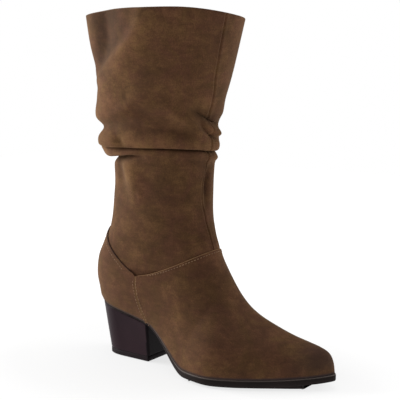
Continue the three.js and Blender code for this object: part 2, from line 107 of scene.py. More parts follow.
def signed_power(value: np.ndarray, power: np.ndarray) -> np.ndarray:
    """A power that keeps the sign of its base."""
    return np.sign(value) * np.abs(value) ** power


def bent(start: np.ndarray, bend: np.ndarray, end: np.ndarray, steps: int) -> np.ndarray:
    """Points on a curve of the second degree from start to end, drawn towards its bend."""
    u = np.linspace(0, 1, steps)[:, None]
    return (1 - u) ** 2 * start + 2 * u * (1 - u) * bend + u ** 2 * end


def deepest(push: np.ndarray, reach: int) -> np.ndarray:
    """The deepest push within reach rows of each row."""
    padded = np.pad(push, ((reach, reach), (0, 0)), mode="edge")
    return np.min([padded[k:k + len(push)] for k in range(2 * reach + 1)], axis=0)


def lattice_noise(points: np.ndarray, size: tuple, seed: float) -> np.ndarray:
    """Smooth noise between -1 and 1, mixed between hashed values at the corners of a lattice.

    A corner's value is the fraction left of a large multiple of the sine of a weighted sum
    of its three coordinates.

    Args:
        points: Places, last axis X, Y, Z.
        size: Lattice cell along each axis.
        seed: Number that picks the pattern.

    Returns:
        The noise at each place.
    """
    scaled = points / np.asarray(size, float)
    cell = np.floor(scaled)
    share = scaled - cell
    share = share * share * (3 - 2 * share)
    total = np.zeros(points.shape[:-1])
    for corner in np.ndindex(2, 2, 2):
        at = cell + corner
        mixed = np.sin(at @ np.array(HASH_WEIGHTS) + seed) * HASH_SPREAD
        weight = np.prod(np.where(corner, share, 1 - share), axis=-1)
        total += weight * (mixed - np.floor(mixed))
    return 2 * total - 1


# The footprint where upper meets sole: each edge's distance from the boot's axis, as shares
# of the ball width, at shares of the foot's length from the heel.
FOOTPRINT = {
    "along": (0, .121, .226, .318, .406, .527, .615, .695, .77, .833, .887, .937, 1),
    "outer": (.26, .293, .305, .339, .405, .525, .555, .475, .352, .235, .135, .035, -.075),
    "inner": (.26, .293, .299, .282, .282, .339, .385, .408, .402, .374, .339, .287, .218),
}

# Sections of the foot from the toe to the instep: where each section's plane meets ridge
# and bed, the ridge's height, the widest half widths, the ridge's lean to the inner side,
# and the squareness of the curve's two ends.
FOOT = {
    "front": (.995, .992, .985, .973, .954, .929, .879, .824, .774, .732, .69, .653, .623, .596,
              .569, .546, .527),
    "up": (.05, .092, .138, .176, .2, .226, .262, .298, .338, .378, .425, .49, .572, .668, .776,
           .87, .954),
    "back": (.995, .992, .985, .973, .954, .929, .879, .824, .774, .732, .674, .615, .548, .477,
             .402, .331, .259),
    "outer": (0, 0, 0, 0, 0, 0, 0, 0, 0, 0, 0, 0, .592, .511, .437, .408, .397),
    "inner": (0, 0, 0, 0, 0, 0, 0, 0, 0, 0, 0, 0, .322, .333, .356, .374, .379),
    "lean": (0, 0, 0, 0, .003, .006, .016, .037, .07, .098, .132, .155, .141, .112, .07, .036,
             .014),
    "peak": (.85, .85, .86, .87, .93, .95, .97, 1, 1, 1.03, 1.06, 1.1, 1.12, 1.14, 1.14, 1.12,
             1.1),
}

# Sections of heel and ankle: the front's reach and height, the back's place on the seat or,
# once it has left the seat, its reach and rise, the half width and the two squarenesses.
HEEL_SEATED = {
    "front": (.57, .546, .529, .518, .511),
    "up": (.016, .047, .074, .093, .107),
    "seat": (.18, .105, .046, .0126, 0),
    "outer": (.489, .493, .496, .498, .499),
    "inner": (.483, .489, .494, .497, .499),
    "peak": (1.08, 1.06, 1.04, 1.02, 1),
    "blunt": (.82, .83, .84, .85, .85),
}
ANKLE = {
    "front": (.503, .5, .496, .493, .49, .488, .487, .487, .487, .488, .489, .494, .498),
    "up": (.122, .139, .156, .176, .195, .215, .234, .253, .275, .297, .325, .36, .398),
    "back": (.66, .686, .687, .667, .622, .579, .543, .522, .511, .503, .491, .491, .503),
    "rise": (.028, .067, .107, .149, .187, .225, .262, .3, .339, .38, .425, .474, .52),
    "half": (.5, .5, .5, .5, .503, .505, .507, .508, .509, .51, .515, .525, .545),
    "blunt": (.85, .86, .87, .88, .9, .92, .94, .96, .98, 1, 1, 1, 1),
}
SHAFT = {
    "front": (.341, .35, .363, .391, .429, .467, .511),
    "up": (.448, .51, .578, .656, .733, .859, 1),
    "back": (.391, .416, .436, .438, .439, .464, .489),
    "rise": (.569, .619, .671, .731, .792, .891, 1),
    "half": (.336, .361, .385, .401, .418, .463, .5),
}


@dataclass
class Last:
    """The smooth form that the upper is closed over, from toe to collar.

    A place on it is (t, s): t counts the sections from the toe, 0, to the collar, and s goes
    around a section, from -1 at the outer side's lower edge or the back seam, over the ridge
    at 0, to 1 at the inner side's.
    """

    foot_length: float = 242.0
    ball_width: float = 87.0
    instep_height: float = 104.0
    toe_spring: float = 5.0
    toe_round: float = 14.0
    heel_round: float = 26.0
    boot_height: float = 320.5
    ankle_length: float = 105.0
    ankle_width: float = 70.0
    collar_length: float = 155.6
    collar_width: float = 122.0
    rim_rise: float = 8.0
    rim_peak: float = -0.25
    rim_reach: float = 0.6
    rim_tilt: float = 6.0
    heel_height: float = 38.0
    seat_rise: float = 13.0
    heel_base_length: float = 55.0
    heel_base_width: float = 45.0
    heel_overhang: float = 10.5
    sole_thickness: float = 6.3
    waist_thickness: float = 2.5
    tread_step: float = 2.2
    clearance: float = 0.3
    bed_trim: float = 2.0
    foot_blunt: float = 0.8
    breast_ahead: float = 2.0
    ball_share: float = 0.515
    spring_share: float = 0.75
    axis_share: float = 0.277
    bulge: float = 1.03
    tip_power: float = 1.6
    rows_per_section: int = 100
    smoothing: float = 0.55
    halvings: int = 26
    table: dict = field(default_factory=dict)

    def __post_init__(self) -> None:
        """Works out the places that follow from the sizes, and the sections' fine table."""
        self.heel_back_x = -self.heel_base_length / 2 - self.heel_overhang
        self.breast_x = self.heel_base_length / 2 + self.breast_ahead
        self.ball_start_x = self.heel_back_x + self.ball_share * self.foot_length
        self.spring_start_x = self.heel_back_x + self.spring_share * self.foot_length
        self.toe_x = self.heel_back_x + self.foot_length
        self.axis_x = self.heel_back_x + self.axis_share * self.foot_length
        self.tread_bed = self.tread_step + self.sole_thickness
        self.breast_bed = self.heel_height + self.waist_thickness
        self.seat_slope = self.seat_rise / (self.breast_x - self.heel_back_x)
        self.seat_z = float(self.bed(np.array(self.heel_back_x)))
        self.throat_z = self.tread_bed + self.instep_height
        self.list_sections()

    def bed(self, x: np.ndarray) -> np.ndarray:
        """Height of the sole's top: sloping seat, cubic waist, level ball and toe spring.

        Args:
            x: Places along the boot.

        Returns:
            The height at each place.
        """
        span = self.ball_start_x - self.breast_x
        u = np.clip((x - self.breast_x) / span, 0, 1)
        v = 1 - u
        waist = (v * v * (1 + 2 * u) * self.breast_bed + u * u * (1 + 2 * v) * self.tread_bed
                 - span * u * v * v * self.seat_slope)
        spring = np.maximum(0, (x - self.spring_start_x) / (self.toe_x - self.spring_start_x))
        seat = self.breast_bed + self.seat_slope * (self.breast_x - x)
        return np.where(x <= self.breast_x, seat,
                        np.where(x < self.ball_start_x, waist,
                                 self.tread_bed + self.toe_spring * spring ** 2))

    def edges(self, x: np.ndarray) -> tuple:
        """The footprint's two edges, with both ends rounded as ellipses.

        Args:
            x: Places along the boot.

        Returns:
            Y of the outer and of the inner edge.
        """
        along = (x - self.heel_back_x) / self.foot_length
        outer = -self.ball_width * hermite(FOOTPRINT["along"], FOOTPRINT["outer"], along)
        inner = self.ball_width * hermite(FOOTPRINT["along"], FOOTPRINT["inner"], along)
        into_toe = np.clip((x - self.toe_x + self.toe_round) / self.toe_round, 0, 1)
        into_heel = np.clip((self.heel_back_x + self.heel_round - x) / self.heel_round, 0, 1)
        centre = (outer + inner) / 2
        half = (inner - outer) / 2 * np.sqrt((1 - into_toe ** 2) * (1 - into_heel ** 2))
        return centre - half, centre + half

    def list_sections(self) -> None:
        """Fills the fine table: each column read at many places between the sections.

        The columns of the ridge and the widths are then averaged over about half a section
        with a bell-shaped weight, so that no band of shading follows a section.
        """
        length, ankle, collar = self.foot_length, self.ankle_length, self.collar_length
        above_throat = self.boot_height - self.throat_z
        above_seat = self.boot_height - self.seat_z
        foot, seated, free, shaft = ({k: np.array(v, float) for k, v in table.items()}
                                     for table in (FOOT, HEEL_SEATED, ANKLE, SHAFT))
        foot_front = self.heel_back_x + foot["front"] * length
        front_x = np.concatenate([foot_front, self.axis_x + seated["front"] * ankle,
                                  self.axis_x + free["front"] * ankle,
                                  self.axis_x + shaft["front"] * collar])
        front_z = np.concatenate([self.bed(foot_front) + foot["up"] * self.instep_height] + [
            self.throat_z + part["up"] * above_throat for part in (seated, free, shaft)])
        back_x = np.concatenate([self.heel_back_x + foot["back"] * length,
                                 self.heel_back_x + seated["seat"] * length,
                                 self.axis_x - free["back"] * ankle,
                                 self.axis_x - shaft["back"] * collar])
        self.seated_rows = len(foot["up"]) + len(seated["up"])
        on_bed = self.bed(back_x[:self.seated_rows]) + self.clearance - self.bed_trim
        back_z = np.concatenate([on_bed, self.seat_z + free["rise"] * above_seat,
                                 self.seat_z + shaft["rise"] * above_seat])
        edge_out, edge_in = self.edges(back_x)
        rows = len(front_x)
        ridge = np.zeros(rows)
        feet = len(foot["up"])
        ridge[:feet] = ((edge_out + edge_in) / 2)[:feet] + foot["lean"] * self.ball_width
        rest = self.ankle_width * free["half"]
        wide = self.collar_width * shaft["half"]
        outer = np.concatenate([np.maximum(foot["outer"] * self.ball_width,
                                           self.bulge * (ridge - edge_out)[:feet]),
                                seated["outer"] * self.ankle_width, rest, wide])
        inner = np.concatenate([np.maximum(foot["inner"] * self.ball_width,
                                           self.bulge * (edge_in - ridge)[:feet]),
                                seated["inner"] * self.ankle_width, rest, wide])
        peak = np.ones(rows)
        peak[:feet] = foot["peak"]
        peak[feet:self.seated_rows] = seated["peak"]
        blunt = np.concatenate([np.full(feet, self.foot_blunt), seated["blunt"], free["blunt"],
                                np.ones(len(shaft["up"]))])
        self.collar = rows - 1
        index = np.arange(rows, dtype=float)
        self.fine = np.linspace(0, self.collar, self.collar * self.rows_per_section + 1)
        for name, values in (("front_x", front_x), ("front_z", front_z), ("back_x", back_x),
                             ("back_z", back_z), ("ridge", ridge), ("outer", outer),
                             ("inner", inner), ("peak", peak), ("blunt", blunt)):
            curve = hermite(index, values, self.fine)
            if name not in ("back_x", "back_z"):
                curve = self.smoothed(curve)
            self.table[name] = curve
        seat_end = float(self.seated_rows - 1)
        settled = np.minimum(self.fine, seat_end)
        on_seat = hermite(index, back_x, settled)
        edge_out, edge_in = self.edges(on_seat)
        lies = self.fine <= seat_end
        self.table["feather_out"] = np.where(lies, np.maximum(self.table["ridge"] - edge_out, 0), 0)
        self.table["feather_in"] = np.where(lies, np.maximum(edge_in - self.table["ridge"], 0), 0)
        flat = self.bed(on_seat) + self.clearance - self.bed_trim
        self.table["back_z"] = np.where(lies, flat, self.table["back_z"])

    def smoothed(self, curve: np.ndarray) -> np.ndarray:
        """A curve averaged with a bell-shaped weight, its two ends held where they were.

        Args:
            curve: A fine column.

        Returns:
            The column, as long as before.
        """
        reach = int(3 * self.smoothing * self.rows_per_section)
        offsets = np.arange(-reach, reach + 1) / (self.smoothing * self.rows_per_section)
        weight = np.exp(-offsets ** 2 / 2)
        start = 2 * curve[0] - curve[reach:0:-1]
        end = 2 * curve[-1] - curve[-2:-reach - 2:-1]
        return np.convolve(np.concatenate([start, curve, end]), weight / weight.sum(), "valid")

    def read(self, name: str, t: np.ndarray) -> np.ndarray:
        """A column of the fine table at t."""
        return np.interp(t, self.fine, self.table[name])

    def point(self, t: np.ndarray, s: np.ndarray) -> np.ndarray:
        """Points of the smooth last.

        With w the widest half width and f the half width at the lower edge, the section's
        half runs over angles from 0 at the ridge to an end angle whose sine, to the power
        blunt, is f / w. Width is w times the sine to a power, and height follows the cosine
        to the same power, which is peak above the widest place and blunt below it. Ahead of
        the first section, t from 0 to -1 rounds the toe off down to the sole.

        Args:
            t: Place along the sections, from -1.
            s: Place around, from -1 to 1.

        Returns:
            Points in millimetres, last axis X, Y, Z.
        """
        t, s = np.broadcast_arrays(np.asarray(t, float), np.asarray(s, float))
        ahead = np.clip(-t, 0, 1)
        outer_side = s < 0
        ridge = self.read("ridge", t)
        to_tip = self.toe_x - self.read("front_x", t)
        tip_x = self.toe_x - to_tip * (1 - ahead) ** self.tip_power
        front_x = np.where(ahead > 0, tip_x, self.read("front_x", t))
        back_x = np.where(ahead > 0, tip_x, self.read("back_x", t))
        feather = np.where(outer_side, self.read("feather_out", t), self.read("feather_in", t))
        widest = np.where(outer_side, self.read("outer", t), self.read("inner", t))
        tip_out, tip_in = self.edges(np.minimum(tip_x, self.toe_x))
        tip = np.where(outer_side, ridge - tip_out, tip_in - ridge)
        feather = np.where(ahead > 0, np.maximum(tip, 0), feather)
        widest = np.maximum(np.where(ahead > 0, 0, widest), self.bulge * feather + 0.001)
        peak, blunt = self.read("peak", t), self.read("blunt", t)
        end_angle = np.pi - np.arcsin(np.minimum(1, feather / widest) ** (1 / blunt))
        angle = np.abs(s) * end_angle
        power = np.where(angle < np.pi / 2, peak, blunt)
        end_height = signed_power(np.cos(end_angle), blunt)
        share = (signed_power(np.cos(angle), power) - end_height) / (1 - end_height)
        width = np.where(np.abs(s) >= 1, feather, widest * np.abs(np.sin(angle)) ** power)
        back_z = self.read("back_z", t)
        front_z = back_z + (self.read("front_z", t) - back_z) * np.where(ahead > 0, 1 - ahead, 1)
        return np.stack([back_x + share * (front_x - back_x),
                         ridge + np.where(outer_side, -width, width),
                         back_z + share * (front_z - back_z)], axis=-1)

    def normal(self, t: np.ndarray, s: np.ndarray) -> np.ndarray:
        """Outward unit normals, from the cross product of steps around and along.

        Along the back seam the two sides' normals are averaged, so that both sides move the
        same way.

        Args:
            t: Place along the sections.
            s: Place around.

        Returns:
            A normal for each place.
        """
        t, s = np.broadcast_arrays(np.asarray(t, float), np.asarray(s, float))
        dt, ds = 0.03, 0.01

        def one_side(u: np.ndarray) -> np.ndarray:
            """The normals at u around, from the side that u lies on."""
            along = (self.point(np.minimum(t + dt, self.collar), u)
                     - self.point(np.maximum(t - dt, -1), u))
            around = (self.point(t, np.minimum(u + ds, 1))
                      - self.point(t, np.maximum(u - ds, -1)))
            cross = np.cross(around, along)
            return cross / np.maximum(np.linalg.norm(cross, axis=-1, keepdims=True), 1e-9)

        normal = one_side(s)
        seam = (np.abs(s) >= 1) & (t > self.seated_rows - 1)
        both = normal + one_side(-s)
        both /= np.maximum(np.linalg.norm(both, axis=-1, keepdims=True), 1e-9)
        return np.where(seam[..., None], both, normal)

    def crossing(self, start: tuple, end: tuple, above: Callable, steps: int = 1) -> tuple:
        """Finds where straight ways between places (t, s) first cross a border.

        Args:
            start: Arrays t and s of the ways' starts, which lie before the border.
            end: Arrays t and s of their ends.
            above: Function of points, above zero past the border.
            steps: Parts of each way that are looked at for the first crossing.

        Returns:
            Arrays t and s of the crossings.
        """
        (t0, s0), (t1, s1) = start, end
        low = np.zeros(np.broadcast(t0, s0, t1, s1).shape)
        high, found = low + 1.0, low > 0
        for k in range(1, steps):
            share = k / steps
            past = above(self.point(t0 + share * (t1 - t0), s0 + share * (s1 - s0))) > 0
            high = np.where(past & ~found, share, high)
            found = found | past
            low = np.where(found, low, share)
        for _ in range(self.halvings):
            middle = (low + high) / 2
            past = above(self.point(t0 + middle * (t1 - t0), s0 + middle * (s1 - s0))) > 0
            low, high = np.where(past, low, middle), np.where(past, middle, high)
        share = (low + high) / 2
        return t0 + share * (t1 - t0), s0 + share * (s1 - s0)

    def travel(self, t: np.ndarray, s: np.ndarray) -> np.ndarray:
        """Millimetres that a point moves for each unit of t.

        Args:
            t: Place along the sections.
            s: Place around.

        Returns:
            The distance, never under a third of a millimetre.
        """
        step = 0.05
        t = np.asarray(t, float)
        ahead, behind = np.minimum(t + step, self.collar), np.maximum(t - step, -1)
        way = np.linalg.norm(self.point(ahead, s) - self.point(behind, s), axis=-1)
        return np.maximum(way / (ahead - behind), 0.3)


@dataclass(frozen=True)
class Stroke:
    """A soft ridge or trough pressed along a line on the shaft.

    The line runs through places (s, z, lift), where lift is its height outwards there. Left
    and right are the distances over which its flanks die away, as seen along the line laid
    flat, and edge is how squarely they do: 2 is round, and nearer 1 is a sharp crest.
    """

    places: tuple
    left: float
    right: float
    edge: float = 2.0


# Folds of the slouch on the outer side, from the collar down, in the order of the eye.
OUTER_FOLDS = (
    Stroke(((-.65, 326, -7.5), (-.65, 312, -9.5), (-.66, 297, -9.5), (-.7, 285, -7.5),
            (-.75, 275, -3.5), (-.8, 267, 0)), 25, 16, 1.8),
    Stroke(((-.88, 326, 2.5), (-.88, 308, 2.5), (-.88, 292, 2), (-.88, 274, 0)), 14, 14),
    Stroke(((-.42, 326, 1.6), (-.435, 308, 2.8), (-.49, 294, 3.8), (-.56, 284, 4.6),
            (-.64, 276, 4.2), (-.717, 269, 3), (-.8, 262, 0)), 19, 7),
    Stroke(((-.66, 268, 0), (-.65, 257, 2), (-.61, 247, 1.6), (-.58, 240, 0)), 13, 15),
    Stroke(((-1.05, 262, 0), (-.92, 257, -1.2), (-.8, 256, -.9), (-.7, 258, 0)), 4, 4),
    Stroke(((-1.15, 228, 0), (-1, 230, 2), (-.82, 231, 3), (-.6, 236, 3), (-.45, 243, 2.2),
            (-.34, 247, 0)), 14, 6),
    Stroke(((-.5, 239, 0), (-.46, 237, -2), (-.4, 234, -2.4), (-.34, 230, -1.4), (-.28, 226, 0)), 7,
           5),
    Stroke(((-1.2, 221, 0), (-1, 219, -2.4), (-.82, 219, -3), (-.68, 223, -2.4), (-.52, 226, -1.8),
            (-.4, 222, -2.6), (-.3, 222, -2.4), (-.2, 219, -1.8), (-.13, 216, 0)), 6, 4.5),
    Stroke(((-.34, 248, 0), (-.24, 233, 2.2), (-.187, 228, 2.8), (-.147, 224, 2.8),
            (-.093, 219, 1.6), (-.04, 215, 0)), 4.5, 4),
    Stroke(((-.26, 249, 0), (-.17, 247, .8), (-.06, 243, 1.6), (.03, 239, 2), (.12, 236, 1.6),
            (.25, 235, 0)), 9, 5),
    Stroke(((-.23, 242, 0), (-.18, 240, -1.4), (-.15, 238, -3.4), (-.085, 233.6, -6),
            (-.01, 229.5, -7), (.057, 226.5, -5), (.13, 225, -2.4), (.22, 225, 0)), 7.5, 3.6, 1.4),
    Stroke(((-.11, 230, 0), (-.065, 225.5, 2.4), (-.015, 221.5, 3.6), (.04, 219, 4.4),
            (.1, 218, 3), (.18, 217, 0)), 4, 2.6),
    Stroke(((-.105, 231, 0), (-.094, 225, -2), (-.05, 219.5, -3), (.02, 214, -3.6),
            (.08, 212.5, -3), (.17, 212, 0)), 2, 2.2, 1.6),
    Stroke(((-1.2, 206, 0), (-1, 205, 4.6), (-.84, 205, 6), (-.7, 209, 5.4), (-.5, 212, 3.4),
            (-.3, 212.5, 2.8), (-.14, 210, 2.6), (-.02, 208.5, 2.4), (.06, 207.5, 3.6),
            (.14, 207, 2.6), (.24, 207, 0)), 9, 5.5),
    Stroke(((-.86, 214, 0), (-.78, 214, 2.4), (-.68, 213.5, 3.2), (-.61, 213, 2.6), (-.56, 211, 0)),
           6, 6),
    Stroke(((-.62, 224, 0), (-.59, 218, -1.1), (-.56, 212, -1.5), (-.53, 206.5, 0)), 2.4, 3, 1.6),
    Stroke(((-.92, 208, 0), (-.84, 207, -4), (-.77, 206.4, -6.4), (-.7, 205.4, -6.4),
            (-.648, 204.5, -5.6), (-.49, 204.8, -5.4), (-.33, 205.4, -6), (-.235, 204.8, -6),
            (-.115, 203.8, -5.6), (0, 201.8, -5), (.08, 201.4, -5), (.3, 203, -4),
            (.55, 206, -4), (.8, 205, -2.6), (1, 202, 0)), 1.3, 1.8, 1.5),
    Stroke(((-1.1, 199, 0), (-.95, 198.6, 2.4), (-.8, 199, 3.4), (-.66, 200.2, 2.8),
            (-.52, 201, 1.6), (-.42, 201, 0)), 3.2, 3),
    Stroke(((-1.15, 191, 0), (-1, 191.5, -3), (-.85, 192.6, -6), (-.7, 194.4, -6.4),
            (-.63, 195.6, -6.4), (-.56, 196.4, -4.6), (-.44, 197, 0)), 1.9, 3.2, 1.6),
    Stroke(((-.04, 196, 0), (.02, 195.6, 2.2), (.07, 195.3, 3), (.13, 195, 2.2), (.24, 195, 0)), 3,
           3.2),
    Stroke(((-.35, 194, 0), (-.22, 193.6, -.8), (-.1, 192, -1), (.04, 189.5, -1.6), (.15, 189, 0)),
           3, 4),
    Stroke(((-.61, 195, 0), (-.58, 187, 3.4), (-.55, 174, 3.8), (-.535, 163, 2.4), (-.52, 145, 0)),
           10, 8),
    Stroke(((-.7, 195, 0), (-.68, 187, -1.3), (-.665, 176, -1.5), (-.65, 162, 0)), 6, 6),
    Stroke(((-.01, 190, 0), (-.015, 180, -3.2), (-.02, 168, -4.2), (-.034, 155, -2.2),
            (-.05, 144, 0)), 3.6, 5, 1.7),
    Stroke(((-.5, 168, 0), (-.495, 160, .5), (-.49, 151, 0)), 1.1, 1.1),
)

# Folds of the inner side, which carry on round the shaft at about the same heights.
INNER_FOLDS = (
    Stroke(((.18, 232, 0), (.35, 234, 2), (.55, 232, 2.8), (.8, 230, 2.4), (1.05, 229, 0)), 12, 6),
    Stroke(((.2, 222, 0), (.4, 221, -2.2), (.6, 222.5, -2.8), (.85, 219, -2), (1.05, 219, 0)),
           5, 5),
    Stroke(((.16, 209, 0), (.3, 210, 3), (.5, 213, 4), (.75, 210, 4), (1, 205, 2.4),
            (1.15, 205, 0)), 8, 5),
    Stroke(((.3, 198, 0), (.45, 199.5, 2.2), (.65, 200, 2.4), (.85, 198, 1.6), (1.05, 197, 0)), 3,
           3.4),
    Stroke(((.35, 192, 0), (.5, 193, -2.6), (.7, 192, -3), (.9, 191, -2.4), (1.1, 191, 0)), 2.6, 4,
           1.6),
    Stroke(((.5, 262, 0), (.55, 272, -1.6), (.58, 285, -2.2), (.56, 300, -1.4), (.54, 320, 0)), 12,
           14),
    Stroke(((.42, 186, 0), (.44, 172, 1.2), (.45, 158, 0)), 7, 7),
)

# Where a roll hangs down over the crease below it: the lift of these lines acts downwards.
OVERHANGS = (
    Stroke(((-.9, 210.5, 0), (-.8, 209, -2), (-.7, 208, -2.6), (-.5, 207, -2.4), (-.3, 207.6, -2.4),
            (-.12, 206.2, -2.2), (.02, 204.4, -2.2), (.1, 204, -2), (.4, 206.2, -1.8),
            (.7, 207.8, -1.4), (.95, 206, 0)), 3.4, 1.9),
    Stroke(((-.2, 243.5, 0), (-.13, 240, -1.4), (-.06, 235.8, -3), (.02, 232, -3),
            (.08, 229, -1.6), (.15, 228, 0)), 3.8, 2.2),
    Stroke(((-1, 195.5, 0), (-.85, 196, -2.6), (-.68, 198, -2.8), (-.56, 199.4, -1.6),
            (-.48, 200, 0)), 3, 1.8),
    Stroke(((-.07, 222, 0), (-.02, 218.8, -1), (.04, 216.5, -1.4), (.12, 215.5, 0)), 3, 2),
)


@dataclass
class Slouch:
    """The folds that the soft shaft has settled into."""

    girth_heights: tuple = (60, 125, 180, 215, 245, 270, 300, 330)
    half_girths: tuple = (150, 146, 139, 146, 163, 180, 200, 219)
    line_steps: int = 6
    reach: float = 2.6
    margin: float = 4.0

    def flat(self, s: np.ndarray, z: np.ndarray) -> np.ndarray:
        """The shaft laid flat: distance around in millimetres, and height."""
        return np.stack(np.broadcast_arrays(
            s * np.interp(z, self.girth_heights, self.half_girths), z), axis=-1)

    def stroke(self, mark: Stroke, at: np.ndarray) -> np.ndarray:
        """The lift of one stroke at places on the flat shaft.

        The nearest place on the line gives the distance to it and the lift there. The push
        is that lift times exp(-(distance / flank) to the power edge).

        Args:
            mark: The stroke.
            at: Places on the flat shaft, last axis around and height.

        Returns:
            The lift at each place.
        """
        s, z, lift = np.array(mark.places, float).T
        knots = np.arange(len(s))
        fine = np.linspace(0, len(s) - 1, self.line_steps * (len(s) - 1) + 1)
        line = self.flat(hermite(knots, s, fine), hermite(knots, z, fine))
        lift = hermite(knots, lift, fine)
        best = np.full(len(at), np.inf)
        signed, height = np.zeros(len(at)), np.zeros(len(at))
        for k in range(len(line) - 1):
            way = line[k + 1] - line[k]
            u = np.clip((at - line[k]) @ way / (way @ way), 0, 1)
            gap = at - line[k] - u[:, None] * way
            size = np.hypot(gap[:, 0], gap[:, 1])
            nearer = size < best
            left = way[0] * gap[:, 1] - way[1] * gap[:, 0] > 0
            best = np.where(nearer, size, best)
            signed = np.where(nearer, np.where(left, 1.0, -1.0), signed)
            height = np.where(nearer, lift[k] + u * (lift[k + 1] - lift[k]), height)
        flank = np.where(signed > 0, mark.left, mark.right)
        return height * np.exp(-(best / flank) ** mark.edge)

    def total(self, marks: tuple, z: np.ndarray, s: np.ndarray) -> np.ndarray:
        """The lift of all marks together, also of those that cross the back seam.

        Args:
            marks: Strokes.
            z: Heights on the smooth last.
            s: Places around.

        Returns:
            The lift at each place.
        """
        z, s = np.broadcast_arrays(z, s)
        push = np.zeros(z.size)
        for turned in (s, s - 2 * np.sign(s)):
            at = self.flat(turned.ravel(), z.ravel())
            for mark in marks:
                spots = self.flat(*np.array(mark.places, float).T[:2])
                margin = self.reach * max(mark.left, mark.right) + self.margin
                near = np.all((at > spots.min(axis=0) - margin)
                              & (at < spots.max(axis=0) + margin), axis=1)
                push[near] += self.stroke(mark, at[near])
        return push.reshape(z.shape)

    def push(self, z: np.ndarray, s: np.ndarray) -> np.ndarray:
        """Outward push of all folds."""
        return self.total(OUTER_FOLDS + INNER_FOLDS, z, s)

    def sag(self, z: np.ndarray, s: np.ndarray) -> np.ndarray:
        """How far each place hangs down."""
        return self.total(OVERHANGS, z, s)


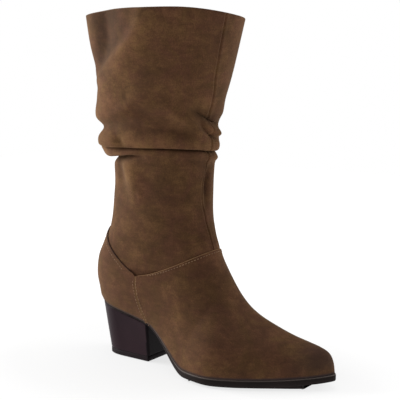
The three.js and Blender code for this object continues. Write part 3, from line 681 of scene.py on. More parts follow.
@dataclass
class Upper:
    """Places on the upper: the last, its folds, the rim's wave and the seam lines."""

    last: Last
    slouch: Slouch
    lap: float = 1.1
    counter_proud: float = 0.2
    seam_heights: tuple = (30, 38, 43.5, 51.4, 65.8, 77.6, 85, 95)
    seam_places: tuple = (36, 33, 30.8, 27.4, 23, 21.3, 22.6, 24)
    rim_rows: float = 2.0
    front_dip: float = 0.45
    dip_zone: tuple = (-0.3, 0.1)
    lap_bends: tuple = (("back", -0.59, 0.291), ("back bend", -0.275, 0.825),
                        ("side seam", -0.043, 0.737), ("front bend", 0.2, 0.772),
                        ("throat", 0.62, 1.022))
    lap_steps: int = 60
    first_row: float = 9.0
    seam_rows: float = 22.0
    counter_top: float = 23.0
    counter_lean: float = 0.4

    def __post_init__(self) -> None:
        """Finds where side seam and lap line meet, on both sides."""
        self.junctions = {sign: self.find_junction(sign) for sign in (-1, 1)}

    def place(self, t: np.ndarray, s: np.ndarray, distance: np.ndarray,
              push: np.ndarray) -> np.ndarray:
        """Points a distance outside the last, with a push along the normal.

        Near the collar each point is also raised by the rim's wave, a bump around its
        highest place, and lowered or raised by half the tilt times the cosine of the turn.

        Args:
            t: Place along the sections.
            s: Place around.
            distance: Offset from the last.
            push: What the folds add.

        Returns:
            Points in millimetres.
        """
        last = self.last
        point = last.point(t, s) + (distance + push)[..., None] * last.normal(t, s)
        to_rim = np.clip(t - last.collar + self.rim_rows, 0, self.rim_rows) / self.rim_rows
        from_peak = np.clip((s - last.rim_peak) / last.rim_reach, -1, 1)
        wave = (1 - from_peak ** 2) ** 2
        wave = wave * (1 - self.front_dip * smoothstep(s, *self.dip_zone))
        point[..., 2] += to_rim * (last.rim_rise * wave - last.rim_tilt / 2 * np.cos(np.pi * s))
        return point

    def push(self, t: np.ndarray, s: np.ndarray) -> np.ndarray:
        """What the folds add at a place."""
        return self.slouch.push(self.last.point(t, s)[..., 2], s)

    def on_sole(self, point: np.ndarray) -> np.ndarray:
        """Points with those below the sole's top turned in to lie on it."""
        floor = self.last.bed(point[..., 0]) + self.last.clearance / 3
        point[..., 2] = np.maximum(point[..., 2], floor)
        return point

    def lap_line(self) -> tuple:
        """The lap line in the side view: two curves of the second degree that meet at the seam.

        Each bend of the table is a share of the ankle's length ahead of the ankle's axis and
        a share of the instep's height over the ball's bed, or for the back one of the height
        over the seat.

        Returns:
            X and Z of places on the line, from the back to the throat.
        """
        last, places = self.last, {}
        for name, ahead, up in self.lap_bends:
            low, height = last.tread_bed, last.instep_height
            if name == "back":
                low, height = last.seat_z, last.boot_height - last.seat_z
            places[name] = np.array([last.axis_x + ahead * last.ankle_length, low + up * height])
        line = np.concatenate([
            bent(places["back"], places["back bend"], places["side seam"], self.lap_steps),
            bent(places["side seam"], places["front bend"], places["throat"], self.lap_steps)])
        return line[:, 0], line[:, 1]

    def over_lap(self, point: np.ndarray) -> np.ndarray:
        """How far points stand above the top edge of vamp and counter."""
        line_x, line_z = self.lap_line()
        return point[..., 2] - np.interp(point[..., 0], line_x, line_z)

    def behind_seam(self, point: np.ndarray) -> np.ndarray:
        """How far points lie behind the side seam, which runs from the lap line to the sole."""
        return np.interp(point[..., 2], self.seam_heights, self.seam_places) - point[..., 0]

    def t_lap(self, s: np.ndarray) -> np.ndarray:
        """Where the lines of constant s first cross the lap line, coming from the toe."""
        return self.last.crossing((self.first_row, s), (self.last.collar, s), self.over_lap,
                                  steps=120)[0]

    def t_seam(self, s: np.ndarray) -> np.ndarray:
        """Where they first cross the side seam."""
        return self.last.crossing((self.first_row, s), (self.seam_rows, s), self.behind_seam,
                                  steps=60)[0]

    def find_junction(self, sign: int) -> float:
        """How far around side seam and lap line meet, on the side of that sign."""
        s = np.linspace(0.95, 0.3, 800)
        return float(s[np.argmax(self.t_seam(sign * s) - self.t_lap(sign * s) > 0)])

    def joint(self, s: np.ndarray) -> np.ndarray:
        """How far around that junction lies, on the side of each s."""
        return np.where(s < 0, self.junctions[-1], self.junctions[1])

    def t_under(self, s: np.ndarray, tuck: float) -> np.ndarray:
        """The shaft's hidden lower edge, below the lap line by at least tuck.

        Ahead of the junction it follows the lap line. Behind it, it runs straight from the
        junction to the lap line's end at the back seam, since the line dips in between.

        Args:
            s: Places around.
            tuck: Millimetres that stay hidden under vamp and counter.

        Returns:
            The edge's t at each place.
        """
        joint = self.joint(s)
        corner = self.t_lap(0.99 * np.where(s < 0, -joint, joint))
        back = self.t_lap(np.ones(1))
        past = np.clip((np.abs(s) - joint) / (1 - joint), 0, 1)
        edge = np.where(past > 0, corner + past * (back - corner), self.t_lap(s))
        return edge - tuck / self.last.travel(edge, s)

    def counter_ways(self, share: np.ndarray, sign: int) -> tuple:
        """Ways over the counter, from places on the side seam to the lap line.

        Share runs down the seam from the junction, 0, to the sole, 1. There each way starts,
        and it heads up and forwards near the junction and straight up at the back, so that
        it meets the lap line once.

        Args:
            share: Places down the seam.
            sign: Sign of the boot's side, -1 for the outer.

        Returns:
            The ways' starts and their ends on the lap line, each as arrays t and s.
        """
        joint = self.junctions[sign]
        s = sign * (joint + (1 - joint) * share)
        start = (self.t_seam(s), s)
        beyond = (self.counter_top + (self.last.collar - 4 - self.counter_top) * share,
                  sign * (self.counter_lean + (1 - self.counter_lean) * share))
        return start, self.last.crossing(start, beyond, self.over_lap, steps=60)


class Mesher:
    """Makes Blender meshes from arrays of points and quads."""

    @staticmethod
    def quads(rows: int, columns: int, loop_rows: bool = False,
              loop_columns: bool = False) -> np.ndarray:
        """Corner numbers of a grid's quads, facing along the columns' way times the rows'.

        Args:
            rows: Rows of the grid.
            columns: Columns of the grid.
            loop_rows: Whether the last row joins the first.
            loop_columns: Whether the last column joins the first.

        Returns:
            Four corner numbers for each quad.
        """
        r = np.arange(rows if loop_rows else rows - 1)[:, None]
        c = np.arange(columns if loop_columns else columns - 1)[None, :]
        r1, c1 = (r + 1) % rows, (c + 1) % columns
        corners = [r * columns + c, r * columns + c1, r1 * columns + c1, r1 * columns + c]
        return np.stack(np.broadcast_arrays(*corners), axis=-1).reshape(-1, 4)

    @staticmethod
    def weld(points: np.ndarray, quads: np.ndarray, values: dict) -> tuple:
        """Merges points at the same place, and turns quads that lose a corner to triangles.

        Args:
            points: Points in millimetres.
            quads: Corner numbers.
            values: Named value of each point.

        Returns:
            Points, list of faces' corner counts, flat corner numbers and values.
        """
        _, first, where = np.unique(np.round(points / WELD_MM).astype(np.int64), axis=0,
                                    return_index=True, return_inverse=True)
        faces = where.reshape(-1)[quads]
        same = faces == np.roll(faces, -1, axis=1)
        whole = faces[same.sum(axis=1) == 0]
        whole = whole[(whole[:, 0] != whole[:, 2]) & (whole[:, 1] != whole[:, 3])]
        short, gone = faces[same.sum(axis=1) == 1], same[same.sum(axis=1) == 1]
        threes = short[~gone].reshape(-1, 3)
        counts = np.concatenate([np.full(len(whole), 4), np.full(len(threes), 3)])
        corners = np.concatenate([whole.ravel(), threes.ravel()])
        used = np.unique(corners)
        renumber = np.zeros(len(first), np.int64)
        renumber[used] = np.arange(len(used))
        kept = first[used]
        return (points[kept], counts, renumber[corners],
                {name: value[kept] for name, value in values.items()})

    @classmethod
    def piece(cls, name: str, points: np.ndarray, quads: np.ndarray, material: object,
              values: dict | None = None) -> object:
        """A smooth-shaded object with its place in its mesh and its values as attributes.

        Args:
            name: The piece's name.
            points: Points in millimetres, on a grid or in a row.
            quads: Corner numbers.
            material: Its finish.
            values: Named value of each point, or one for all.

        Returns:
            The object, at the origin.
        """
        flat = {key: np.broadcast_to(value, points.shape[:-1]).reshape(-1).astype(np.float32)
                for key, value in (values or {}).items()}
        spots, counts, corners, flat = cls.weld(points.reshape(-1, 3), quads, flat)
        mesh = bpy.data.meshes.new(name)
        mesh.vertices.add(len(spots))
        mesh.vertices.foreach_set("co", (spots * MM).astype(np.float32).ravel())
        mesh.loops.add(len(corners))
        mesh.loops.foreach_set("vertex_index", corners.astype(np.int32))
        mesh.polygons.add(len(counts))
        mesh.polygons.foreach_set("loop_start",
                                  np.concatenate([[0], np.cumsum(counts)[:-1]]).astype(np.int32))
        mesh.polygons.foreach_set("use_smooth", np.ones(len(counts), bool))
        mesh.update(calc_edges=True)
        mesh.validate()
        for key, value in flat.items():
            mesh.attributes.new(key, "FLOAT", "POINT").data.foreach_set("value", value)
        mesh.materials.append(material)
        thing = bpy.data.objects.new(name, mesh)
        bpy.context.scene.collection.objects.link(thing)
        log.info("%s: %d triangles", name, int((counts - 2).sum()))
        return thing

    @staticmethod
    def settle(thing: object, slot: Slot, *nodes: str) -> None:
        """Makes a piece ride on the boot, and hides the CAD parts of the nodes it stands for."""
        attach(thing, ROOT)
        if nodes:
            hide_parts(*nodes)


def linear(hex_colour: str) -> tuple:
    """An sRGB hex colour as linear red, green, blue and alpha."""
    parts = [int(hex_colour.lstrip("#")[i:i + 2], 16) / 255 for i in (0, 2, 4)]
    return tuple(c / 12.92 if c <= 0.04045 else ((c + 0.055) / 1.055) ** 2.4
                 for c in parts) + (1.0,)


def add_node(tree: object, kind: str, settings: dict | None = None,
             inputs: dict | None = None) -> object:
    """Adds a shader node.

    Args:
        tree: Node tree.
        kind: Node type.
        settings: Properties by name.
        inputs: Input sockets by name or number: a value, or another node's output socket.

    Returns:
        The node.
    """
    node = tree.nodes.new(kind)
    for name, value in (settings or {}).items():
        setattr(node, name, value)
    for name, value in (inputs or {}).items():
        socket = node.inputs[name]
        if isinstance(value, bpy.types.NodeSocket):
            tree.links.new(value, socket)
        else:
            socket.default_value = value
    return node


def ramp(tree: object, factor: object, stops: tuple) -> object:
    """A colour ramp through (place, hex colour) stops, and its colour output."""
    node = add_node(tree, "ShaderNodeValToRGB", inputs={"Fac": factor})
    bands = node.color_ramp.elements
    while len(bands) < len(stops):
        bands.new(0.5)
    for band, (place, colour) in zip(bands, stops):
        band.position, band.color = place, linear(colour)
    return node.outputs["Color"]


def fresh_material(name: str) -> tuple:
    """A new material, its tree, its principled shader and its object coordinates."""
    material = bpy.data.materials.new(name)
    material.use_nodes = True
    tree = material.node_tree
    shader = tree.nodes["Principled BSDF"]
    place = add_node(tree, "ShaderNodeTexCoord").outputs["Object"]
    return material, tree, shader, place


@dataclass(frozen=True)
class Suede:
    """Suede: split hide with its flesh side sanded to a short nap.

    The nap scatters light, so it is matt with a soft sheen at grazing angles, and it reads
    lighter or darker where fingers have brushed it one way or the other.
    """

    name: str = "brushed suede"
    places: tuple = (0.0, 0.28, 0.5, 0.74, 1.0)
    reddish: tuple = ("#271710", "#3f281a", "#553726", "#704d34", "#8b6848")
    olive: tuple = ("#281a10", "#3e2918", "#543a23", "#715233", "#8c6c47")
    # Dark colour of the burnished toe, also used as painted shade along the counter's top edge and
    # just above the sole.
    burnt_and_shaded: str = "#33292a"
    raw_edge: str = "#8a6a4a"
    cloud_mm: float = 38.0
    brush_mm: float = 11.0
    streak_mm: float = 5.0
    nap_mm: float = 1.1

    def noise(self, tree: object, place: object, size_mm: float, detail: float = 3.0,
              wander: float = 0.0) -> object:
        """A noise of a real size, and its factor output."""
        return add_node(tree, "ShaderNodeTexNoise", inputs={
            "Vector": place, "Scale": 1 / (size_mm * MM), "Detail": detail, "Roughness": 0.62,
            "Distortion": wander}).outputs["Fac"]

    def build(self) -> object:
        """Builds the material.

        Tone adds clouds, brush marks, streaks, nap and the ridge attribute, which is painted shade
        in the folds' hollows and painted highlight on their crests, and runs through two ramps of
        five browns, which mix in wide clouds. The burnished toe, painted shade along the counter's
        top edge and just above the sole, and raw edges are mixed in by their attributes.

        Returns:
            The material.
        """
        material, tree, shader, place = fresh_material(self.name)
        level = add_node(tree, "ShaderNodeMapping", inputs={
            "Vector": place, "Scale": (0.4, 0.4, 1.5), "Rotation": (0.1, 0.12, 0.0)})
        clouds = self.noise(tree, place, self.cloud_mm, wander=0.5)
        brushed = self.noise(tree, place, self.brush_mm, detail=4.0, wander=0.4)
        streaks = self.noise(tree, level.outputs["Vector"], self.streak_mm)
        nap = self.noise(tree, place, self.nap_mm, detail=2.0)
        # The ridge attribute is painted shade in the folds' troughs and painted highlight on their
        # crests.
        tone = add_node(tree, "ShaderNodeAttribute", {"attribute_name": "ridge"}).outputs["Fac"]
        for noise, weight in ((clouds, 0.46), (brushed, 0.42), (streaks, 0.24), (nap, 0.4)):
            tone = add_node(tree, "ShaderNodeMath", {"operation": "MULTIPLY_ADD"}, {
                0: noise, 1: weight, 2: tone}).outputs[0]
        tone = add_node(tree, "ShaderNodeMath", {"operation": "SUBTRACT"},
                        {0: tone, 1: 0.265}).outputs[0]
        hue = add_node(tree, "ShaderNodeMapRange", inputs={
            "Value": self.noise(tree, place, 0.6 * self.cloud_mm, wander=0.8),
            "From Min": 0.38, "From Max": 0.62})
        colour = add_node(tree, "ShaderNodeMix", {"data_type": "RGBA"}, {
            0: hue.outputs[0], 6: ramp(tree, tone, tuple(zip(self.places, self.reddish))),
            7: ramp(tree, tone, tuple(zip(self.places, self.olive)))}).outputs[2]
        # Mixes in the dark colour of the burnished toe, also painted shade along the counter's top
        # edge and just above the sole; then the pale raw edges.
        for attribute, shade in (("burnish_and_shade", self.burnt_and_shaded), ("edge", self.raw_edge)):
            share = add_node(tree, "ShaderNodeAttribute", {"attribute_name": attribute})
            colour = add_node(tree, "ShaderNodeMix", {"data_type": "RGBA"}, {
                0: share.outputs["Fac"], 6: colour, 7: linear(shade)}).outputs[2]
        bump = add_node(tree, "ShaderNodeBump", inputs={
            "Height": nap, "Distance": 0.0003, "Strength": 0.6})
        soft = add_node(tree, "ShaderNodeBump", inputs={
            "Height": streaks, "Distance": 0.0008, "Strength": 0.25,
            "Normal": bump.outputs["Normal"]})
        tree.links.new(colour, shader.inputs["Base Color"])
        tree.links.new(soft.outputs["Normal"], shader.inputs["Normal"])
        shader.inputs["Roughness"].default_value = 0.92
        shader.inputs["Specular IOR Level"].default_value = 0.18
        shader.inputs["Sheen Weight"].default_value = 0.2
        shader.inputs["Sheen Roughness"].default_value = 0.45
        shader.inputs["Sheen Tint"].default_value = linear("#dcae7c")
        return material


@dataclass(frozen=True)
class Plain:
    """A moulded, knitted or wrapped finish: two near tones, a grain and a gloss.

    Colour wanders between the tones in soft clouds, and the grain of its real size gives
    the bump and breaks the gloss.
    """

    name: str
    dark: str
    light: str
    grain_mm: float
    cloud_mm: float = 25.0
    roughness: float = 0.6
    depth_mm: float = 0.06
    specular: float = 0.5
    # Tone of painted light that the edge attribute mixes in: the sole's pale tone is a painted
    # highlight along its bevel, a heel's dark tone painted shade on its breast.
    painted_light: str = "#6a605b"

    def build(self) -> object:
        """Builds the material, with its tone of painted light where the edge attribute says, and
        returns it.
        """
        material, tree, shader, place = fresh_material(self.name)
        cloud = add_node(tree, "ShaderNodeTexNoise", inputs={
            "Vector": place, "Scale": 1 / (self.cloud_mm * MM), "Detail": 3.0})
        grain = add_node(tree, "ShaderNodeTexNoise", inputs={
            "Vector": place, "Scale": 1 / (self.grain_mm * MM), "Detail": 2.0})
        tone = add_node(tree, "ShaderNodeMath", {"operation": "MULTIPLY_ADD"}, {
            0: grain.outputs["Fac"], 1: 0.3, 2: cloud.outputs["Fac"]}).outputs[0]
        share = add_node(tree, "ShaderNodeAttribute", {"attribute_name": "edge"})
        colour = add_node(tree, "ShaderNodeMix", {"data_type": "RGBA"}, {
            0: share.outputs["Fac"], 6: ramp(tree, tone, ((0.45, self.dark), (0.85, self.light))),
            7: linear(self.painted_light)}).outputs[2]
        bump = add_node(tree, "ShaderNodeBump", inputs={
            "Height": grain.outputs["Fac"], "Distance": self.depth_mm * MM, "Strength": 0.6})
        rough = add_node(tree, "ShaderNodeMapRange", inputs={
            "Value": cloud.outputs["Fac"], "To Min": self.roughness - 0.06,
            "To Max": self.roughness + 0.06})
        tree.links.new(colour, shader.inputs["Base Color"])
        tree.links.new(rough.outputs[0], shader.inputs["Roughness"])
        tree.links.new(bump.outputs["Normal"], shader.inputs["Normal"])
        shader.inputs["Specular IOR Level"].default_value = self.specular
        return material


@dataclass
class Shaft:
    """The suede shaft as one closed skin: outer face, turned rim, facing and hidden back."""

    upper: Upper
    suede: object
    columns: int = 280
    low_rows: int = 62
    fold_rows: int = 150
    high_rows: int = 58
    back_rows: int = 38
    fold_zone: tuple = (184.0, 250.0)
    tuck_under: float = 4.0
    rim_radius: float = 1.1
    rim_steps: int = 5
    facing: float = 14.0
    back_depth: float = 1.0
    back_reach: int = 4
    # Scale and range of the ridge attribute: painted shade in the folds' troughs, painted highlight
    # on their crests.
    shade: float = 0.035
    shade_range: tuple = (-0.2, 0.14)
    seam_heights: tuple = (122, 135, 149, 158, 171, 187, 200, 229, 241, 256, 269, 320)
    seam_turns: tuple = (-.06, -.05, -.063, -.073, -.068, -.03, -.018, -.018, -.05, -.058, -.072,
                         -.07)
    seam_place: float = -0.05
    seam_follow: float = 0.2
    seam_width: float = 0.7
    seam_depth: float = 0.7
    seam_swell: float = 0.35
    swell_at: float = 1.8
    swell_width: float = 1.1
    seam_scale: float = 0.8
    crowding: float = 0.014

    def turns(self) -> np.ndarray:
        """Places around, four times closer together at the front seam and the back seam."""
        fine = np.linspace(-1, 1, 4001)
        density = np.ones_like(fine)
        for beside in (fine - self.seam_place, 1 - np.abs(fine)):
            density = density + 3 * np.exp(-(beside / self.crowding) ** 2)
        total = np.cumsum(density)
        total = (total - total[0]) / (total[-1] - total[0])
        return np.interp(np.arange(self.columns) / self.columns, total, fine)

    def grid(self) -> tuple:
        """The outer face's grid: rows at even heights, finest among the folds.

        Around the front seam the places are then shifted along with the seam, by a bell-shaped
        share of the seam's own shift.

        Returns:
            Arrays t and s.
        """
        upper, last = self.upper, self.upper.last
        s = self.turns()
        t_low = upper.t_under(s, self.tuck_under)
        z_low = last.point(t_low, s)[..., 2]
        z_top = last.point(np.full_like(s, last.collar), s)[..., 2]
        low, high = self.fold_zone
        u_low = np.arange(self.low_rows)[:, None] / self.low_rows
        u_fold = np.arange(self.fold_rows)[:, None] / self.fold_rows
        u_high = np.linspace(0, 1, self.high_rows)[:, None]
        heights = np.concatenate([z_low + u_low * (low - z_low),
                                  (low + u_fold * (high - low)) * np.ones_like(s),
                                  high + u_high * (z_top - high)])
        s_all = np.broadcast_to(s, heights.shape)

        def over(point: np.ndarray) -> np.ndarray:
            """How far points stand above their rows' heights."""
            return point[..., 2] - heights

        t, _ = last.crossing((upper.first_row, s_all), (last.collar, s_all), over)
        t[0], t[-1] = t_low, last.collar
        shift = self.front_seam(heights) - self.seam_place
        s_all = s_all + shift * np.exp(-((s_all - self.seam_place) / self.seam_follow) ** 2)
        return t, s_all

    def front_seam(self, z: np.ndarray) -> np.ndarray:
        """The front seam's place around at height z."""
        return hermite(self.seam_heights, self.seam_turns, z)

    def seams(self, z: np.ndarray, s: np.ndarray) -> np.ndarray:
        """Push of front and back seam: a bell-shaped groove between two low swellings.

        Args:
            z: Heights on the smooth last.
            s: Places around.

        Returns:
            The push at each place.
        """
        half_girth = np.interp(z, self.upper.slouch.girth_heights, self.upper.slouch.half_girths)
        push = np.zeros(s.shape)
        for beside in (np.abs(s - self.front_seam(z)), 1 - np.abs(s)):
            gap = beside * half_girth * self.seam_scale
            push += self.seam_swell * np.exp(-((gap - self.swell_at) / self.swell_width) ** 2)
            push -= self.seam_depth * np.exp(-(gap / self.seam_width) ** 2)
        return push

    def build(self) -> object:
        """Builds the shaft.

        The outer face turns over the rim as half a circle and comes back as a facing. Below
        the facing the hidden back lies behind the deepest push of the rows around it, so that
        its wider rows stay inside the folds.

        Returns:
            The shaft, standing for the CAD upper.
        """
        upper = self.upper
        t, s = self.grid()
        z = upper.last.point(t, s)[..., 2]
        folds = upper.slouch.push(z, s)
        push = folds + self.seams(z, s)
        outer = upper.place(t, s, np.zeros_like(t), push)
        outer[..., 2] += upper.slouch.sag(z, s)
        top_t, top_s, top_push = t[-1:], s[-1:], push[-1:]
        turn = np.linspace(0, np.pi, self.rim_steps + 2)[1:-1, None]
        around = self.rim_radius * (np.cos(turn) - 1) * np.ones_like(top_t)
        rim = upper.place(*(np.repeat(top, self.rim_steps, 0) for top in (top_t, top_s)), around,
                          np.repeat(top_push, self.rim_steps, 0))
        rim[..., 2] += self.rim_radius * np.sin(turn)
        folded = len(t) - self.high_rows
        rows = np.unique(np.concatenate([
            np.linspace(0, folded, self.back_rows).astype(int),
            np.arange(folded, len(t), 2), [len(t) - 1]]))[::-1]
        faced = np.linalg.norm(outer[-1:] - outer, axis=-1) < self.facing
        depth = np.where(faced, 2 * self.rim_radius, self.back_depth)
        smooth = (np.arange(len(t)) >= folded)[:, None]
        face = np.where(smooth | faced, push, deepest(push, self.back_reach))
        inner = upper.place(t[rows], s[rows], -depth[rows], face[rows])
        points = np.concatenate([outer, rim, inner])
        quads = Mesher.quads(len(points), self.columns, loop_rows=True, loop_columns=True)
        # The ridge attribute is painted shade in the folds' troughs and painted highlight on their
        # crests.
        ridge = np.zeros(points.shape[:2])
        ridge[:len(t)] = np.clip(folds * self.shade, *self.shade_range)
        thing = Mesher.piece("shaft", points, quads, self.suede,
                             {"ridge": ridge, "burnish_and_shade": 0.0, "edge": 0.0})
        Mesher.settle(thing, Slot.SUEDE, "upper")
        return thing


@dataclass
class Panels:
    """Vamp and counter, which lap over the shaft, and the lining inside them all."""

    upper: Upper
    suede: object
    lining: object
    under: float = 0.9
    seam_gap: float = 0.8
    edge_rows: int = 4
    columns: int = 250
    low_rows: int = 110
    high_rows: int = 80
    counter_columns: int = 110
    crowding: float = 0.014
    lining_columns: int = 241
    lining_rows: int = 140
    lining_faces: tuple = (-1.4, -2.0)
    burnt_length: float = 42.0
    burnt_share: float = 0.45
    burnt_wander: float = 6.0
    burnt_patch: float = 14.0
    # Strength and heights of the painted shade on the suede just above the sole.
    sole_shade_share: float = 0.95
    sole_shade_heights: tuple = (0.8, 2.8)

    def sheet(self, name: str, grids: list, outside: float, inside: float, material: object,
              burnish_and_shade: bool, raw: float = 0.0, painted_light: float = 0.0,
              raw_low: float = 0.0, snug: int = 0) -> object:
        """Makes a closed skin from grids of places (t, s) between two offsets.

        Each grid runs from its lower border to its upper one and back along the inside, with
        a rounded border between, and its two side borders are walled where they are free.

        Args:
            name: The piece's name.
            grids: Pairs of arrays t and s, of one shape within a pair.
            outside: Offset of the outer face.
            inside: Offset of the inner face.
            material: Its finish.
            burnish_and_shade: Whether the toe is burnished; if not, the upper border takes painted
                shade.
            raw: How far the upper border shows as a pale cut edge.
            painted_light: How far the upper border is darkened with painted shade.
            raw_low: How far the lower border shows as a pale cut edge.
            snug: Rows on either side whose deepest push counts, so that nothing pokes through.

        Returns:
            The piece.
        """
        upper, start = self.upper, 0
        points, quads, burnt_and_shaded, edge = [], [], [], []
        for t, s in grids:
            push = deepest(upper.push(t, s), snug)
            outer = upper.place(t, s, np.full_like(t, outside), push)
            inner = upper.place(t, s, np.full_like(t, inside), push)[::-1]
            turn = np.linspace(0, np.pi, self.edge_rows + 2)[1:-1, None]
            half = (outside - inside) / 2
            offset = (outside + inside) / 2 + half * np.cos(turn)
            ahead = t[-1] + 0.5 * half * np.sin(turn) / upper.last.travel(t[-1], s[-1])
            border_s = np.repeat(s[-1:], self.edge_rows, 0)
            border = upper.place(np.minimum(ahead, upper.last.collar), border_s,
                                 offset * np.ones_like(border_s),
                                 np.repeat(push[-1:], self.edge_rows, 0))
            whole = upper.on_sole(np.concatenate([outer, border, inner]))
            rows, columns = whole.shape[:2]
            faces = [Mesher.quads(rows, columns, loop_rows=True)]
            for column, flip in ((0, True), (columns - 1, False)):
                free = (t[:, column] < upper.last.seated_rows - 1) | (np.abs(s[:, column]) < 1)
                r = np.arange(len(t) - 1)[free[:-1]]
                a, b = r * columns + column, (r + 1) * columns + column
                c, d = (rows - 2 - r) * columns + column, (rows - 1 - r) * columns + column
                faces.append(np.stack([a, b, c, d] if flip else [d, c, b, a], axis=-1))
            points.append(whole.reshape(-1, 3))
            quads.append(np.concatenate(faces) + start)
            start += rows * columns
            border_tone = np.zeros((rows, columns))
            border_tone[len(t) - 1:len(t) + self.edge_rows] = 1.0
            low_tone = np.zeros((rows, columns))
            low_tone[:1] = low_tone[-1:] = raw_low
            edge.append((raw * border_tone + low_tone).ravel())
            # The vamp's toe is burnished; other pieces take painted shade along the upper border,
            # by the share given.
            tip = self.burnt_toe(whole) if burnish_and_shade else painted_light * border_tone
            # Suede pieces also take painted shade just above the sole, along its join.
            if material is self.suede:
                tip = np.maximum(tip, self.sole_shade(whole))
            burnt_and_shaded.append(tip.ravel())
        return Mesher.piece(name, np.concatenate(points)[:, None], np.concatenate(quads), material,
                            {"ridge": 0.0, "burnish_and_shade": np.concatenate(burnt_and_shaded)[:, None],
                             "edge": np.concatenate(edge)[:, None]})

    def above_sole(self, point: np.ndarray) -> np.ndarray:
        """How far points stand above the sole's top."""
        return point[..., 2] - self.upper.last.bed(point[..., 0])

    def sole_shade(self, point: np.ndarray) -> np.ndarray:
        """How dark the suede is painted just above the sole: painted shade along its join with the
        sole.
        """
        return self.sole_shade_share * (1 - smoothstep(self.above_sole(point), *self.sole_shade_heights))

    def burnt_toe(self, point: np.ndarray) -> np.ndarray:
        """How far the toe's suede is burnished: full at the tip and gone some way behind it.

        Args:
            point: Points of the vamp.

        Returns:
            The share of the burnished colour at each point.
        """
        back = self.upper.last.toe_x - point[..., 0]
        wander = self.burnt_wander * lattice_noise(point, (self.burnt_patch,) * 3, 3.0)
        ahead = smoothstep(-(back + wander), -self.burnt_length, -4)
        return self.burnt_share * ahead * smoothstep(self.above_sole(point), -6, 14)

    def along(self, t_end: np.ndarray, t_start: np.ndarray, rows: int) -> np.ndarray:
        """Rows of t between two borders, evenly spaced over the foot's side.

        Args:
            t_end: The upper border's t in each column.
            t_start: The lower border's.
            rows: Rows to make.

        Returns:
            The rows, from the lower border up.
        """
        last = self.upper.last
        t = np.linspace(-1, last.collar, 1200)
        side = last.point(t, np.full_like(t, -0.6))
        length = np.concatenate([[0], np.cumsum(np.linalg.norm(np.diff(side, axis=0), axis=-1))])
        low, high = np.interp(t_start, t, length), np.interp(t_end, t, length)
        u = np.linspace(0, 1, rows)[:, None]
        return np.interp(low + u * (high - low), length, t)

    def crowded(self, low: float, high: float, count: int) -> np.ndarray:
        """Places around, ten times closer together at both junctions.

        Args:
            low: First place.
            high: Last place.
            count: How many.

        Returns:
            The places.
        """
        fine = np.linspace(low, high, 6001)
        behind = np.abs(fine) - self.upper.joint(fine)
        density = np.cumsum(1 + 9 * np.exp(-(behind / self.crowding) ** 2))
        density = (density - density[0]) / (density[-1] - density[0])
        return np.interp(np.linspace(0, 1, count), density, fine)

    def make_vamp(self) -> object:
        """The vamp, from the toe to the lap line and the two side seams."""
        upper, last = self.upper, self.upper.last
        s = self.crowded(-1, 1, self.columns)
        seam = upper.t_seam(s)
        seam -= self.seam_gap / last.travel(seam, s)
        end = np.minimum(upper.t_lap(s), seam)
        level = np.full_like(s, end.min() - 0.5)
        low = self.along(level, np.full_like(s, -1.0), self.low_rows)
        t = np.concatenate([low[:-1], self.along(end, level, self.high_rows)])
        return self.sheet("vamp", [(t, np.broadcast_to(s, t.shape))], upper.lap, -self.under,
                          self.suede, True, raw=0.75)

    def make_counter(self) -> object:
        """The counter's two halves, which meet at the back seam."""
        halves = []
        for sign in (-1, 1):
            share = np.linspace(0, 1, self.counter_columns)[::sign] ** 1.7
            (t0, s0), (t1, s1) = self.upper.counter_ways(share, sign)
            u = np.linspace(0, 1, self.high_rows)[:, None]
            halves.append((t0 + u * (t1 - t0), s0 + u * (s1 - s0)))
        # The counter's upper border takes painted shade.
        return self.sheet("counter", halves, self.upper.lap + self.upper.counter_proud,
                          -self.under, self.suede, False, painted_light=0.5, raw_low=0.8)

    def make_lining(self) -> object:
        """The lining, from the toe to just under the rim."""
        s = np.linspace(-1, 1, self.lining_columns)
        top = np.full_like(s, self.upper.last.collar - 0.3)
        t = self.along(top, np.full_like(s, -0.9), self.lining_rows)
        return self.sheet("lining", [(t, np.broadcast_to(s, t.shape))], *self.lining_faces,
                          self.lining, False, snug=2)

    def build(self) -> list:
        """Builds vamp, counter and lining, and returns them."""
        pieces = [self.make_vamp(), self.make_counter(), self.make_lining()]
        for thing in pieces:
            Mesher.settle(thing, Slot.SUEDE, "upper")
        return pieces


